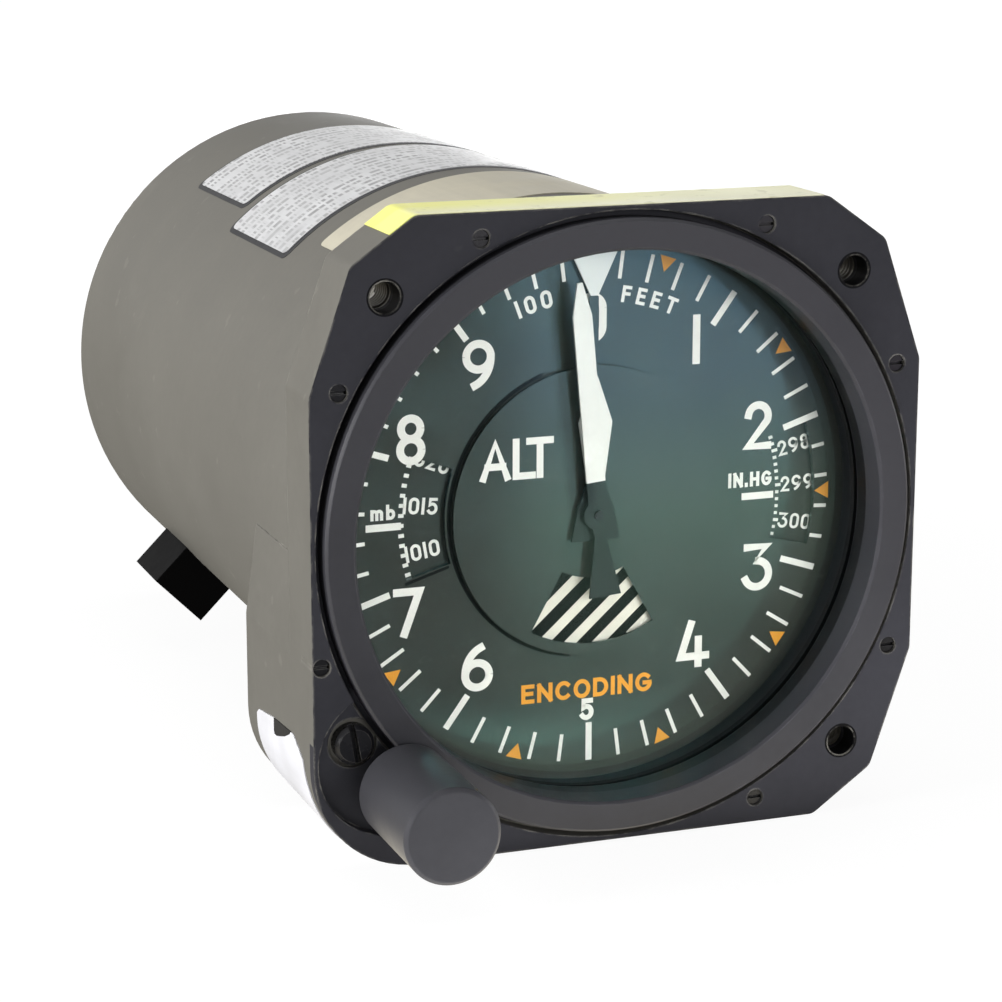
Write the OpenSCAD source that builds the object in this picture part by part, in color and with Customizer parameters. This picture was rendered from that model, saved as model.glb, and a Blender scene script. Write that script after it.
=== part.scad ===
// Three-pointer encoding altimeter for a standard 3 1/8 inch panel hole, in millimetres.
// X is right seen from the front, Y runs back into the case and Z is up.
// The origin is on the pointer axis, in the plane of the flange's front face.

/* [Case] */
// Outside radius of the round case
case_r = 39.6; // [39.3:0.1:40.4]
// Thickness of the case's round wall
case_wall = 2.6; // [2.2:0.1:2.8]
// Length from the flange's front face to the rear wall
case_len = 141.8; // [130:0.1:170]
// Thickness of the rear wall
rear_wall = 2.4; // [1.5:0.1:4]
// Radius of the rear edge
rear_edge_r = 2.4; // [1:0.1:4]

/* [Flange] */
// How far the flange's flats stand out from the case
flange_lip = 1.6; // [1.2:0.1:3]
// Thickness of the flange
flange_t = 10; // [9:0.1:14]
// Where the top flat ends, from the flange's side
flat_cut_x = 14.3; // [12:0.1:17]
// Where the side flat ends, from the flange's top
flat_cut_z = 22; // [19:0.1:25]
// Where the ears' corners are, from the flange's sides
ear_cut = 7.1; // [5.2:0.1:8]
// Radius of the flange's corners
ear_r = 2; // [0.5:0.1:4]
// Distance of the panel screw holes from the flange's sides
panel_inset = 9.77; // [9.3:0.01:10.2]
// Radius of the panel screw holes
panel_hole_r = 1.95; // [1.6:0.05:2.2]
// Outside radius of the threaded inserts
insert_r = 3; // [2.6:0.1:3.4]
// Length of the threaded inserts
insert_len = 6; // [4:0.1:8]
// Radius of the small screws' heads in the flange's face
small_head_r = 1.1; // [0.8:0.05:1.4]
// Distance of the small screws from the case's wall
small_screw_out = 2.84; // [2.6:0.02:3.1]
// Radius of the rounded corner that carries the knob
corner_r = 13.5; // [12.8:0.1:14.5]
// Depth of the gear box behind that corner
corner_depth = 31; // [28:0.5:36]
// Depth of the pocket under the knob
pocket_depth = 1.6; // [1:0.1:2.5]

/* [Glass] */
// How far the glass ring is inside the case's radius
ring_inset = 0.8; // [0.6:0.05:1.2]
// Wall of the ring at the glass
ring_wall = 3.1; // [2.4:0.1:3.4]
// Distance of the ring's front from the flange's flats
ring_edge = 1.5; // [1.4:0.05:2]
// How far the ring stands in front of the flange
ring_proud = 1.2; // [0.5:0.1:2.5]
// Width of the groove round the ring
groove_w = 0.9; // [0.5:0.1:0.9]
// Depth of the groove round the ring
groove_depth = 2.2; // [1:0.1:3]
// Where the front of the glass is
glass_y = 5.6; // [5:0.1:7]
// Thickness of the glass
glass_t = 2; // [1.5:0.1:2.4]
// Thickness of the gasket behind the glass
gasket_t = 1; // [0.6:0.1:1.4]

/* [Dial] */
// Where the front of the dial is
dial_y = 12; // [11.8:0.1:13]
// Thickness of the dial and of the scale disc
dial_t = 0.8; // [0.5:0.1:1]
// Inner and outer radius of the millibar window
mb_window = [20, 26.3];
// Inner and outer radius of the inch window
inch_window = [26.5, 32.2];
// Half angle of the millibar window
mb_half = 18; // [10:1:25]
// Half angle of the inch window
inch_half = 15.5; // [10:0.5:22]
// Gap between the layers that turn past each other
layer_gap = 0.3; // [0.2:0.05:0.4]

/* [Pointers] */
// Radius of the disc of the ten thousand foot pointer
disc_r = 19.2; // [17:0.1:20]
// Inner radius of the striped window in the disc
stripe_r0 = 8.8; // [7:0.1:11]
// Outer radius of the striped window in the disc
stripe_r1 = 17.7; // [15:0.1:18]
// Half angle of the striped window
stripe_half = 29; // [15:1:40]
// Distance of the white triangle's base from the ring's mouth
triangle_inset = 0.8; // [0.6:0.1:5]
// Half width of the white triangle
triangle_half = 3.6; // [2:0.1:4]
// Distance of the hundred foot pointer's tip from the ring's mouth
long_tip_inset = 5.2; // [4:0.1:10]
// Tip radius of the thousand foot pointer
short_tip_r = 18; // [14:0.1:22]
// Thickness of a pointer's blade
blade_t = 0.35; // [0.2:0.05:0.5]
// Distance between the pointers
pointer_pitch = 1; // [0.9:0.05:1.1]
// Reading of the hundred foot pointer, in degrees
long_turn = -5.3; // [-20:0.1:20]

/* [Knob] */
// Radius of the setting knob
knob_r = 6.15; // [5:0.05:6.4]
// Where the front of the knob is
knob_front = -20; // [-26:0.5:-14]
// Gap between the knob and the flange's face
knob_gap = 2; // [0.5:0.1:4]
// Direction of the knob from the pointer axis
knob_angle = 225.7; // [224:0.1:227]
// Radius of the knob's shaft
knob_shaft_r = 2; // [1.5:0.1:2.4]
// Radius of the lock screw's head
lock_r = 2.6; // [2:0.1:3]
// Distance of the lock screw from the knob's axis
lock_offset = 8.3; // [8:0.1:9]

/* [Movement] */
// Radius of the hundred foot staff
staff_r = 0.6; // [0.5:0.05:0.65]
// Wall of the two pointer sleeves
sleeve_wall = 0.45; // [0.35:0.05:0.5]
// Radius of the other arbors
arbor_r = 0.8; // [0.6:0.05:0.9]
// Radius of the rocking shaft
rock_r = 1.5; // [1:0.1:2]
// Thickness of the movement's plates
plate_t = 2; // [1.5:0.1:2.4]
// Thickness of the wheels
wheel_t = 1; // [0.6:0.1:1.2]
// Distance from one wheel layer to the next
layer_pitch = 2; // [1.8:0.1:2.4]
// Radius of the arm that the capsules push
arm_r = 8; // [7:0.1:9]
// Radius of the aneroid capsules
capsule_r = 19; // [15:0.5:20]
// Thickness of one capsule
capsule_t = 6; // [4.5:0.1:6.4]
// Distance of the encoder's reader from the bore of the case
reader_room = 1.87; // [1:0.01:3]

/* [Fits] */
// Running clearance of shafts in their bearings
run_fit = 0.05; // [0.02:0.01:0.09]
// Clearance of pieces that are pressed or glued together
press_fit = 0.02; // [0.01:0.01:0.04]
// Free space round turning teeth
tooth_room = 0.4; // [0.3:0.05:0.5]

/* [Rear] */
// Wall radius of the static port's thread
port_r = 4.4; // [4:0.05:5]
// Length of the static port's thread
port_len = 10; // [8:0.5:14]
// Height of the static port above the axis
port_z = 14; // [8:0.5:22]
// Width of the side connector's cap
cap_w = 10; // [8:0.1:14]
// Length of the side connector's cap
cap_len = 13.4; // [10:0.1:24]
// Distance of the cap's outer face from the axis
cap_reach = 46.5; // [44:0.1:48]
// Where the cap starts behind the flange's face
cap_y = 103.5; // [98:0.5:120]

/* [Hidden] */
$fn = 96;

// Colours of the finishes
grey_paint = "#77766f";
black_paint = "#3d3c41";
brass = "#b08d4a";
steel = "#a9acb0";
white_paint = "#f2f0ec";

// Extra depth of a cutter beyond the face that it opens
cut = 1;

// Case bore and the steps in it
bore_r = case_r - case_wall;
ring_r = case_r - ring_inset;
mouth_r = ring_r - ring_wall;
flange_half = case_r + flange_lip;
panel_half = flange_half - panel_inset;
triangle_r = mouth_r - triangle_inset;
long_tip_r = mouth_r - long_tip_inset;
ring_bore_r = ring_r + run_fit;
ring_front_r = flange_half - ring_edge;
groove_r = ring_front_r + groove_w;
dial_ring_bore = mouth_r + 0.8;
gasket_y = glass_y + glass_t;
flange_seat_t = 1;
dial_ring_y = gasket_y + gasket_t;
seat_y = dial_ring_y + flange_seat_t;
glass_r = ring_r - 0.2;
dial_r = bore_r - 0.1;

// Corner of the case that carries the knob
corner_c = flange_half - corner_r;
fairing_end = 15;
fairing_start = 3;
pocket_r = 9.6;
pocket_shift = [-1.14, 3.4];
knob_room = 0.75;

// Tooth form shared by every wheel: pitch share, tip share, addendum and dedendum in modules
tooth_share = 0.44;
tip_share = 0.4;
addendum = 0.85;
dedendum = 1.15;

// Modules and tooth counts of the trains
baro_z = 96;
scale_room = 1;
baro_m = 2 * (bore_r - scale_room) / baro_z;
baro_pinion_z = 18;
train_m = 0.5;
pinion_z = 8;
idler_wheel_z = 40;
idler_pinion_z = 16;
pointer_wheel_z = 32;
center_z = 96;
wheel_room = 1.7025;
center_m = (bore_r - wheel_room) / (center_z + pinion_z / 2 + addendum);
sector_m = 0.4;
sector_z = 120;
code_pinion_z = 12;
code_wheel_z = 24;

// Layers of the movement along the axis
scale_y = dial_y + dial_t + layer_gap;
boss_front_y = dial_y + dial_t + layer_gap / 2;
front_plate_y = scale_y + dial_t + 1.1;
layer_y = front_plate_y + plate_t + 1;
center_y = layer_y + 4 * layer_pitch + 1.2;
rear_plate_y = center_y + wheel_t + 1;
sector_layer_y = rear_plate_y + plate_t + 2;
code_wheel_y = rear_plate_y + plate_t + 0.6;
sector_t = 2;
sector_plate_y = sector_layer_y + sector_t + 2;
movement_rear_y = sector_plate_y + plate_t;
plate_screw_head_t = 0.8;

// Concentric staff and sleeves
sleeve_1000_bore = staff_r + run_fit;
sleeve_1000_r = sleeve_1000_bore + sleeve_wall;
sleeve_10000_bore = sleeve_1000_r + run_fit;
sleeve_10000_r = sleeve_10000_bore + sleeve_wall + 0.1;
disc_y0 = dial_y - pointer_pitch;
short_y0 = disc_y0 - pointer_pitch;
long_y0 = short_y0 - pointer_pitch;
hub_extra = 0.25;

// Radius of the movement's plates: the front one rests on the ledge in the case
ledge_r = bore_r - 2.5;
ledge_t = 3;
front_plate_r = bore_r - tooth_room;
rear_plate_r = ledge_r - 0.3;
plate_screw_r = (ledge_r + front_plate_r) / 2;
plate_screw_angles = [20, 110, 160, 290];

// Places of the arbors in the plane of the dial
function polar(r, a) = [r * cos(a), r * sin(a)];
function pair(m, za, zb) = m * (za + zb) / 2;
function heading(a, b) = atan2(b[1] - a[1], b[0] - a[0]);
idler_d = pair(train_m, pinion_z, idler_wheel_z);
idler_a_angle = -30;
idler_b_angle = 250;
idler_a = polar(idler_d, idler_a_angle);
idler_b = polar(idler_d, idler_b_angle);
rock = [arm_r, 9];
center_d = pair(center_m, pinion_z, center_z);
sector_d = pair(sector_m, pinion_z, sector_z);
rock_d = norm(rock);
center_angle = atan2(rock[1], rock[0])
    + acos((pow(center_d, 2) + pow(rock_d, 2) - pow(sector_d, 2)) / (2 * center_d * rock_d));
center = polar(center_d, center_angle);
code_angle = 250;
code_center = center + polar(pair(train_m, code_pinion_z, code_wheel_z), code_angle);
reader_size = [6, 6, 8];
reader_overlap = 3;
reader_x = -sqrt(pow(bore_r - reader_room, 2) - pow(abs(code_center[1]) + reader_size[2] / 2, 2));
code_r = code_center[0] - reader_x + reader_overlap - reader_size[0];
knob_d = pair(baro_m, baro_z, baro_pinion_z);
knob_c = polar(knob_d, knob_angle);
lock_c = knob_c + polar(lock_offset, 135);

// Sector: swing at rest from the middle of its travel, and the span of its teeth
rest_swing = 19;
sector_pitch_angle = 360 / sector_z;
sector_first = -3;
sector_last = 14;
sector_heading = heading(rock, center);

// Capsules behind the movement, with the push rod on their axis
capsule_y = movement_rear_y + capsule_r + 5;
frame_top_z = -22;
frame_t = 2;
capsule_gap = 1;
capsule_base_z = frame_top_z + 2;
capsule_top_z = capsule_base_z + 2 * capsule_t + capsule_gap;
capsule_boss = 3;
guide_depth = 8;
rod_r = 1;
rod_x = 0.27;
arm_tip = rock + polar(arm_r, 180 + rest_swing);
rod_end_z = capsule_top_z + capsule_boss - guide_depth + 1;
crank_pin_r = 0.6;
eye_t = 1.6;
arm_y = capsule_y + eye_t / 2 + 0.2;
arm_t = 2;
upright_y = capsule_y + capsule_r + 2;
board_y = upright_y + frame_t + 6;
board_t = 1.6;
board_size = [44, 42];
board_low = [-22, -24];
standoffs = [[-3.5, -20], [11.5, -20], [-3.5, 3], [11.5, 2]];
pillar_r = 2;
pillar_inset = 4.3;
pillar_angles = [42.3, -42.3, 241.7, 105.4];
pillar_places = [for (a = pillar_angles) polar(rear_plate_r - pillar_inset, a)];
pillar_screw_r = 1;
frame_screw_places = [[-6, -18], [6, -18]];

// Side connector at the lower left
cap_angle = -135;
cap_wall = 1.1;
cap_foot = case_r - 1;

// Sweep of a flat outline, drawn as seen from the front, from y0 back to y1
module along_y(y0, y1) {
    translate([0, y1, 0]) rotate([90, 0, 0]) linear_extrude(y1 - y0) children();
}

// Disc or cutter on the pointer axis, or at a place in the dial's plane
module disc_y(r, y0, y1, at = [0, 0]) {
    along_y(y0, y1) translate(at) circle(r);
}

// Profile of radius and depth turned round the pointer axis, or a parallel one
module turned_y(at = [0, 0]) {
    translate([at[0], 0, at[1]]) rotate([-90, 0, 0]) rotate_extrude() children();
}

// Piece of a ring between two angles
module ring_sector(r0, r1, mid, half) {
    reach = 2 * r1;
    intersection() {
        difference() {
            circle(r1);
            circle(r0);
        }
        polygon([[0, 0], polar(reach, mid - half), polar(reach, mid), polar(reach, mid + half)]);
    }
}

// Convex outline with every corner rounded: circles at the points, and bars between them
module rounded_outline(points, r) {
    count = len(points);
    polygon(points);
    for (i = [0 : count - 1]) {
        a = points[i];
        b = points[(i + 1) % count];
        side = polar(r, heading(a, b) - 90);
        translate(a) circle(r);
        polygon([a, b, b + side, a + side]);
    }
}

// Points of one tooth: root, pitch and tip on each side
function tooth(r, a, z, m) = let (half = tooth_share * 180 / z, root = r - dedendum * m, tip = r + addendum * m)
    [polar(root, a - half), polar(r, a - half), polar(tip, a - half * tip_share),
     polar(tip, a + half * tip_share), polar(r, a + half), polar(root, a + half)];

// Toothed outline, with one tooth pointing at the angle given
module gear(z, m, a) {
    polygon([for (i = [0 : z - 1]) each tooth(m * z / 2, a + i * 360 / z, z, m)]);
}

// Wheel that has a gap, and not a tooth, at the angle given
module gear_gap(z, m, a) {
    gear(z, m, a + 180 / z);
}

// Cuts between the spokes of a wheel of pitch radius r, which leave a rim and a hub
module spokes(r, rim_t, hub, count, width) {
    rim = r - rim_t;
    difference() {
        circle(rim);
        circle(hub);
        for (i = [0 : count - 1]) rotate(i * 360 / count) translate([0, -width / 2]) square([2 * rim, width]);
    }
}

// Outline of the flange without the rounded corner: the lower left ear is left off
module flange_plain() {
    edge = flange_half - ear_r;
    flat_end_x = flange_half - flat_cut_x;
    flat_end_z = flange_half - flat_cut_z;
    ear_corner = flange_half - ear_cut;
    rounded_outline([[-flat_end_x, edge], [-ear_corner, ear_corner], [-edge, flat_end_z], [-edge, -flat_end_z],
                     [-flat_end_x, -edge], [flat_end_x, -edge], [ear_corner, -ear_corner], [edge, -flat_end_z],
                     [edge, flat_end_z], [ear_corner, ear_corner], [flat_end_x, edge]], ear_r);
}

// Rounded corner that carries the knob, faired into the round case
module knob_corner() {
    translate([-corner_c, -corner_c]) circle(corner_r);
    polygon([[-flange_half, -corner_c], [-flange_half, -fairing_end], [-case_r, -fairing_start], [0, -fairing_start],
             [-fairing_start, 0], [-fairing_start, -case_r], [-fairing_end, -flange_half], [-corner_c, -flange_half],
             [-corner_c, -corner_c]]);
}

// Small screws in the flange's face, beside each corner
face_screw_angles = [26.5, 63.3, 116.7, 151.8, 199.5, 296.7, 333.5];
face_screw_places = [for (a = face_screw_angles) polar(case_r + small_screw_out, a)];
panel_places = [[-panel_half, panel_half], [panel_half, panel_half], [panel_half, -panel_half]];
face_screw_len = 5;
lock_len = 9;
lock_shank_r = 1.5;
lock_seat = 2.2;
bushing_r = knob_shaft_r + 0.6;
pinion_tip_r = baro_m * (baro_pinion_z / 2 + addendum);
pinion_t = dial_t + 0.6;
pinion_y = dial_y + dial_t + layer_gap / 2;
shaft_rear = 25;

// Block on the case's wall at the connector's angle, from one distance to another
module side_block(w, y0, y1, r0, r1) {
    rotate([0, cap_angle, 0]) translate([-w / 2, y0, r0]) cube([w, y1 - y0, r1 - r0]);
}

module case() {
    color(grey_paint) difference() {
        union() {
            along_y(0, flange_t) flange_plain();
            along_y(0, corner_depth) knob_corner();
            turned_y() {
                square([case_r, case_len - rear_edge_r]);
                square([case_r - rear_edge_r, case_len]);
                translate([case_r - rear_edge_r, case_len - rear_edge_r]) circle(rear_edge_r);
            }
        }
        disc_y(groove_r, -cut, groove_depth);
        disc_y(ring_bore_r, -cut, seat_y);
        disc_y(bore_r, -cut, front_plate_y + plate_t);
        disc_y(ledge_r, 0, front_plate_y + plate_t + ledge_t + cut);
        disc_y(bore_r, front_plate_y + plate_t + ledge_t, case_len - rear_wall);
        disc_y(pocket_r, -cut, pocket_depth, knob_c + pocket_shift);
        disc_y(knob_r + knob_room, -cut, pocket_depth, knob_c);
        for (p = panel_places) {
            disc_y(panel_hole_r, -cut, flange_t + cut, p);
            disc_y(insert_r + press_fit, flange_t - insert_len, flange_t + cut, p);
        }
        for (p = face_screw_places) disc_y(small_head_r + press_fit, -cut, face_screw_len, p);
        disc_y(bushing_r + press_fit, 0, pinion_y, knob_c);
        disc_y(pinion_tip_r + tooth_room, pinion_y - tooth_room, pinion_y + pinion_t + tooth_room, knob_c);
        disc_y(knob_shaft_r + run_fit, pinion_y, shaft_rear, knob_c);
        disc_y(lock_shank_r + press_fit, 0, lock_seat + lock_len, lock_c);
        disc_y(lock_r + 0.6, -cut, lock_seat, lock_c);
        disc_y(port_r + 1.6 + press_fit, case_len - rear_wall - cut, case_len + cut, [0, port_z]);
        for (a = plate_screw_angles)
            disc_y(0.8 + press_fit, front_plate_y, front_plate_y + plate_t + ledge_t + cut, polar(plate_screw_r, a));
        side_block(cap_w - 2 * cap_wall, cap_y + cap_wall, cap_y + cap_len - cap_wall, bore_r - 4, cap_reach);
        side_block(cap_w + 2 * press_fit, cap_y - press_fit, cap_y + cap_len + press_fit, cap_foot, cap_reach);
    }
}

module bezel_ring() {
    ring_bevel = 0.35;
    color(black_paint) turned_y() polygon([
        [mouth_r, glass_y], [mouth_r, ring_bevel - ring_proud], [mouth_r + ring_bevel, -ring_proud],
        [ring_front_r - ring_bevel, -ring_proud], [ring_front_r, ring_bevel - ring_proud],
        [ring_front_r, groove_depth], [ring_r, groove_depth], [ring_r, glass_y]]);
}

module glass() {
    color("#dfe8ea", 0.4) turned_y() polygon([
        [0, glass_y], [glass_r - 0.3, glass_y], [glass_r, glass_y + 0.3],
        [glass_r, gasket_y - 0.3], [glass_r - 0.3, gasket_y], [0, gasket_y]]);
}

module glass_gasket() {
    color("#202022") difference() {
        disc_y(glass_r, gasket_y, dial_ring_y);
        disc_y(mouth_r + 0.3, gasket_y - cut, dial_ring_y + cut);
    }
}

module face_screws() {
    slot_w = 0.4;
    slot_depth = 0.5;
    color("#2a2a2d") for (p = face_screw_places) difference() {
        disc_y(small_head_r, 0.4, face_screw_len, p);
        along_y(0, 0.4 + slot_depth) translate(p) square([3 * small_head_r, slot_w], center = true);
    }
}

module panel_inserts() {
    color(brass) for (p = panel_places) difference() {
        disc_y(insert_r, flange_t - insert_len, flange_t, p);
        disc_y(panel_hole_r, flange_t - insert_len - cut, flange_t + cut, p);
    }
}

module knob() {
    rim = 0.5;
    socket_y = -14;
    color("#555459") turned_y(knob_c) polygon([
        [0, knob_front], [knob_r - rim, knob_front], [knob_r, knob_front + rim], [knob_r, -knob_gap],
        [knob_shaft_r + press_fit, -knob_gap], [knob_shaft_r + press_fit, socket_y], [0, socket_y]]);
}

module knob_shaft() {
    color(steel) disc_y(knob_shaft_r, -13.9, shaft_rear - 0.5, knob_c);
}

module baro_pinion() {
    color(brass) along_y(pinion_y, pinion_y + pinion_t) translate(knob_c) difference() {
        gear(baro_pinion_z, baro_m, knob_angle + 180);
        circle(knob_shaft_r + press_fit);
    }
}

module knob_bushing() {
    color(brass) difference() {
        disc_y(bushing_r, pocket_depth, pinion_y - tooth_room, knob_c);
        disc_y(knob_shaft_r + run_fit, pocket_depth - cut, pinion_y + cut, knob_c);
    }
}

module lock_screw() {
    slot_w = 0.8;
    slot_depth = 1.1;
    head_y = lock_seat - 2;
    color("#161618") difference() {
        union() {
            turned_y(lock_c) polygon([[0, head_y], [lock_r - 0.5, head_y], [lock_r, head_y + 0.5],
                                      [lock_r, lock_seat], [0, lock_seat]]);
            disc_y(lock_shank_r, lock_seat - 0.5, lock_seat + lock_len, lock_c);
        }
        along_y(head_y - cut, head_y + slot_depth) translate(lock_c) rotate(100)
            square([3 * lock_r, slot_w], center = true);
    }
}

module dial_ring() {
    color("#2c2c2f") turned_y() polygon([
        [dial_ring_bore, dial_ring_y], [ring_r - 0.1, dial_ring_y], [ring_r - 0.1, seat_y],
        [dial_r, seat_y], [dial_r, dial_y], [dial_ring_bore, dial_y]]);
}

module dial() {
    color("#3f4447") along_y(dial_y, dial_y + dial_t) difference() {
        circle(dial_r);
        circle(sleeve_10000_r + 0.4);
        ring_sector(mb_window[0], mb_window[1], 178, mb_half);
        ring_sector(inch_window[0], inch_window[1], 2.5, inch_half);
    }
}

module baro_scale() {
    color("#34383b") along_y(scale_y, scale_y + dial_t) difference() {
        gear_gap(baro_z, baro_m, knob_angle);
        circle(boss_r + run_fit);
    }
}

// Bearing boss on the front plate that carries the scale disc
boss_r = 4;
boss_shoulder_r = 6;

module front_plate() {
    color(brass) difference() {
        union() {
            disc_y(front_plate_r, front_plate_y, front_plate_y + plate_t);
            disc_y(boss_r, boss_front_y, front_plate_y + plate_t);
            disc_y(boss_shoulder_r, scale_y + dial_t + 0.2, front_plate_y + plate_t);
        }
        disc_y(sleeve_10000_r + run_fit, 0, layer_y);
        for (p = [idler_a, idler_b, center]) disc_y(arbor_r + run_fit, 0, layer_y, p);
        for (a = plate_screw_angles) disc_y(0.8 + press_fit, 0, layer_y, polar(plate_screw_r, a));
    }
}

module rear_plate() {
    color(brass) difference() {
        disc_y(rear_plate_r, rear_plate_y, rear_plate_y + plate_t);
        disc_y(staff_r + run_fit, 0, sector_layer_y);
        for (p = [idler_a, idler_b, code_center]) disc_y(arbor_r + run_fit, 0, sector_layer_y, p);
        disc_y(2 * arbor_r, 0, sector_layer_y, center);
        disc_y(rock_r + run_fit, 0, sector_layer_y, rock);
        for (p = pillar_places) disc_y(pillar_screw_r + press_fit, 0, sector_layer_y, p);
        along_y(0, sector_layer_y) ring_sector(15, 30, 330, 16);
    }
}

module sector_plate() {
    color(brass) difference() {
        disc_y(rear_plate_r, sector_plate_y, movement_rear_y);
        for (p = [center, code_center]) disc_y(arbor_r + run_fit, 0, movement_rear_y + cut, p);
        disc_y(rock_r + run_fit, 0, movement_rear_y + cut, rock);
        for (p = pillar_places) disc_y(pillar_screw_r + press_fit, 0, movement_rear_y + cut, p);
        for (p = frame_screw_places) disc_y(pillar_screw_r + press_fit, 0, movement_rear_y + cut, p);
        along_y(0, movement_rear_y + cut) ring_sector(14, 30, 335, 18);
    }
}

// Round post between two plates, tapped right through for its screw
module post(p, y0, y1) {
    difference() {
        disc_y(pillar_r, y0, y1, p);
        disc_y(pillar_screw_r + press_fit, y0 - cut, y1 + cut, p);
    }
}

module pillars() {
    color(brass) for (p = pillar_places) post(p, front_plate_y + plate_t, rear_plate_y);
}

module spacers() {
    color(brass) for (p = pillar_places) post(p, rear_plate_y + plate_t, sector_plate_y);
}

// Slotted screw along the axis, with its head's outer face in front or behind
module slotted_screw(p, head_r, head_y0, head_y1, shank_r, shank_y0, shank_y1, slot_y) {
    slot_w = 0.5;
    slot_depth = 0.45;
    difference() {
        union() {
            disc_y(head_r, head_y0, head_y1, p);
            disc_y(shank_r, shank_y0, shank_y1, p);
        }
        along_y(slot_y - slot_depth, slot_y + slot_depth) translate(p) square([3 * head_r, slot_w], center = true);
    }
}

module pillar_screws() {
    head_t = 1;
    color(steel) for (p = pillar_places)
        slotted_screw(p, 1.8, movement_rear_y, movement_rear_y + head_t, pillar_screw_r,
                      front_plate_y + plate_t + 0.5, movement_rear_y + head_t / 2, movement_rear_y + head_t);
}

module plate_screws() {
    head_y = front_plate_y - plate_screw_head_t;
    color(steel) for (a = plate_screw_angles)
        slotted_screw(polar(plate_screw_r, a), 1, head_y, front_plate_y, 0.8,
                      head_y + 0.4, front_plate_y + plate_t + ledge_t, head_y);
}

module frame_screws() {
    head_t = 1;
    head_y = movement_rear_y + frame_t;
    color(steel) for (p = frame_screw_places)
        slotted_screw(p, 1.8, head_y, head_y + head_t, pillar_screw_r,
                      sector_plate_y, head_y + head_t / 2, head_y + head_t);
}

// Hub of a pointer on its staff or sleeve
module pointer_hub(r, bore, y0) {
    difference() {
        disc_y(r, y0, y0 + blade_t + hub_extra);
        disc_y(bore + press_fit, y0 - cut, y0 + cut);
    }
}

module pointer_100() {
    hub_r = 2;
    color(white_paint) rotate([0, long_turn, 0]) {
        pointer_hub(hub_r, staff_r, long_y0);
        along_y(long_y0, long_y0 + blade_t) difference() {
            polygon([[-0.35, long_tip_r], [0.35, long_tip_r], [1.3, long_tip_r - 4.3], [1.3, 4.3], [1.3, 0],
                     [0.8, -3], [2.2, -11], [-2.2, -11], [-0.8, -3], [-1.3, 0], [-1.3, 4.3],
                     [-1.3, long_tip_r - 4.3]]);
            circle(staff_r + press_fit);
        }
    }
}

module pointer_1000() {
    hub_r = 2.6;
    color(white_paint) rotate([0, long_turn / 10, 0]) {
        pointer_hub(hub_r, sleeve_1000_r, short_y0);
        along_y(short_y0, short_y0 + blade_t) difference() {
            polygon([[-0.3, short_tip_r], [0.3, short_tip_r], [2.3, 12], [1.2, 4.3], [2.6, 0], [3.4, -3.6],
                     [-3.4, -3.6], [-2.6, 0], [-1.2, 4.3], [-2.3, 12]]);
            circle(sleeve_1000_r + press_fit);
        }
    }
}

module pointer_10000() {
    hub_r = 3.2;
    arm_half = 0.6;
    triangle_apex = triangle_r - 7.7;
    color("#3a4043") rotate([0, long_turn / 100, 0]) {
        pointer_hub(hub_r, sleeve_10000_r, disc_y0);
        along_y(disc_y0, disc_y0 + blade_t) difference() {
            union() {
                circle(disc_r);
                translate([-arm_half, 0]) square([2 * arm_half, triangle_apex + 1]);
                polygon([[-triangle_half, triangle_r], [triangle_half, triangle_r], [0, triangle_apex]]);
            }
            ring_sector(stripe_r0, stripe_r1, 270, stripe_half);
            circle(sleeve_10000_r + press_fit);
        }
    }
}

module staff_100() {
    color(steel) {
        disc_y(staff_r, long_y0 - 0.3, rear_plate_y + plate_t);
        along_y(layer_y + 3 * layer_pitch, layer_y + 3 * layer_pitch + wheel_t)
            gear(pinion_z, train_m, idler_a_angle);
        along_y(center_y, center_y + wheel_t) gear(pinion_z, center_m, center_angle);
    }
}

module sleeve_1000() {
    color(steel) difference() {
        union() {
            disc_y(sleeve_1000_r, short_y0 - 0.1, layer_y + 2 * layer_pitch + wheel_t + 0.4);
            along_y(layer_y + layer_pitch, layer_y + layer_pitch + wheel_t)
                gear(pinion_z, train_m, idler_b_angle);
        }
        disc_y(sleeve_1000_bore, 0, center_y);
    }
}

module sleeve_10000() {
    color(steel) difference() {
        disc_y(sleeve_10000_r, disc_y0 - 0.1, layer_y + wheel_t + 0.4);
        disc_y(sleeve_10000_bore, 0, center_y);
    }
}

// Wheel on a pointer sleeve, driven by the pinion of an idler
module pointer_wheel(y, angle, bore) {
    color(brass) along_y(y, y + wheel_t) difference() {
        gear_gap(pointer_wheel_z, train_m, angle);
        circle(bore + press_fit);
        spokes(pointer_wheel_z * train_m / 2, 1.8, 3.6, 4, 1.8);
    }
}

module wheel_1000() {
    pointer_wheel(layer_y + 2 * layer_pitch, idler_a_angle, sleeve_1000_r);
}

module wheel_10000() {
    pointer_wheel(layer_y, idler_b_angle, sleeve_10000_r);
}

// Idler arbor with its pinion, and the wheel that drives it
module idler_arbor(p, pinion_layer, angle) {
    y = layer_y + pinion_layer * layer_pitch;
    color(steel) {
        disc_y(arbor_r, front_plate_y + 0.2, rear_plate_y + plate_t - 0.2, p);
        along_y(y, y + wheel_t) translate(p) gear(idler_pinion_z, train_m, angle + 180);
    }
}

module idler_wheel(p, wheel_layer, angle) {
    y = layer_y + wheel_layer * layer_pitch;
    color(brass) along_y(y, y + wheel_t) translate(p) difference() {
        gear_gap(idler_wheel_z, train_m, angle + 180);
        circle(arbor_r + press_fit);
        spokes(idler_wheel_z * train_m / 2, 2, 2.6, 4, 1.8);
    }
}

module idler_a_arbor() {
    idler_arbor(idler_a, 2, idler_a_angle);
}

module idler_a_wheel() {
    idler_wheel(idler_a, 3, idler_a_angle);
}

module idler_b_arbor() {
    idler_arbor(idler_b, 0, idler_b_angle);
}

module idler_b_wheel() {
    idler_wheel(idler_b, 1, idler_b_angle);
}

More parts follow.
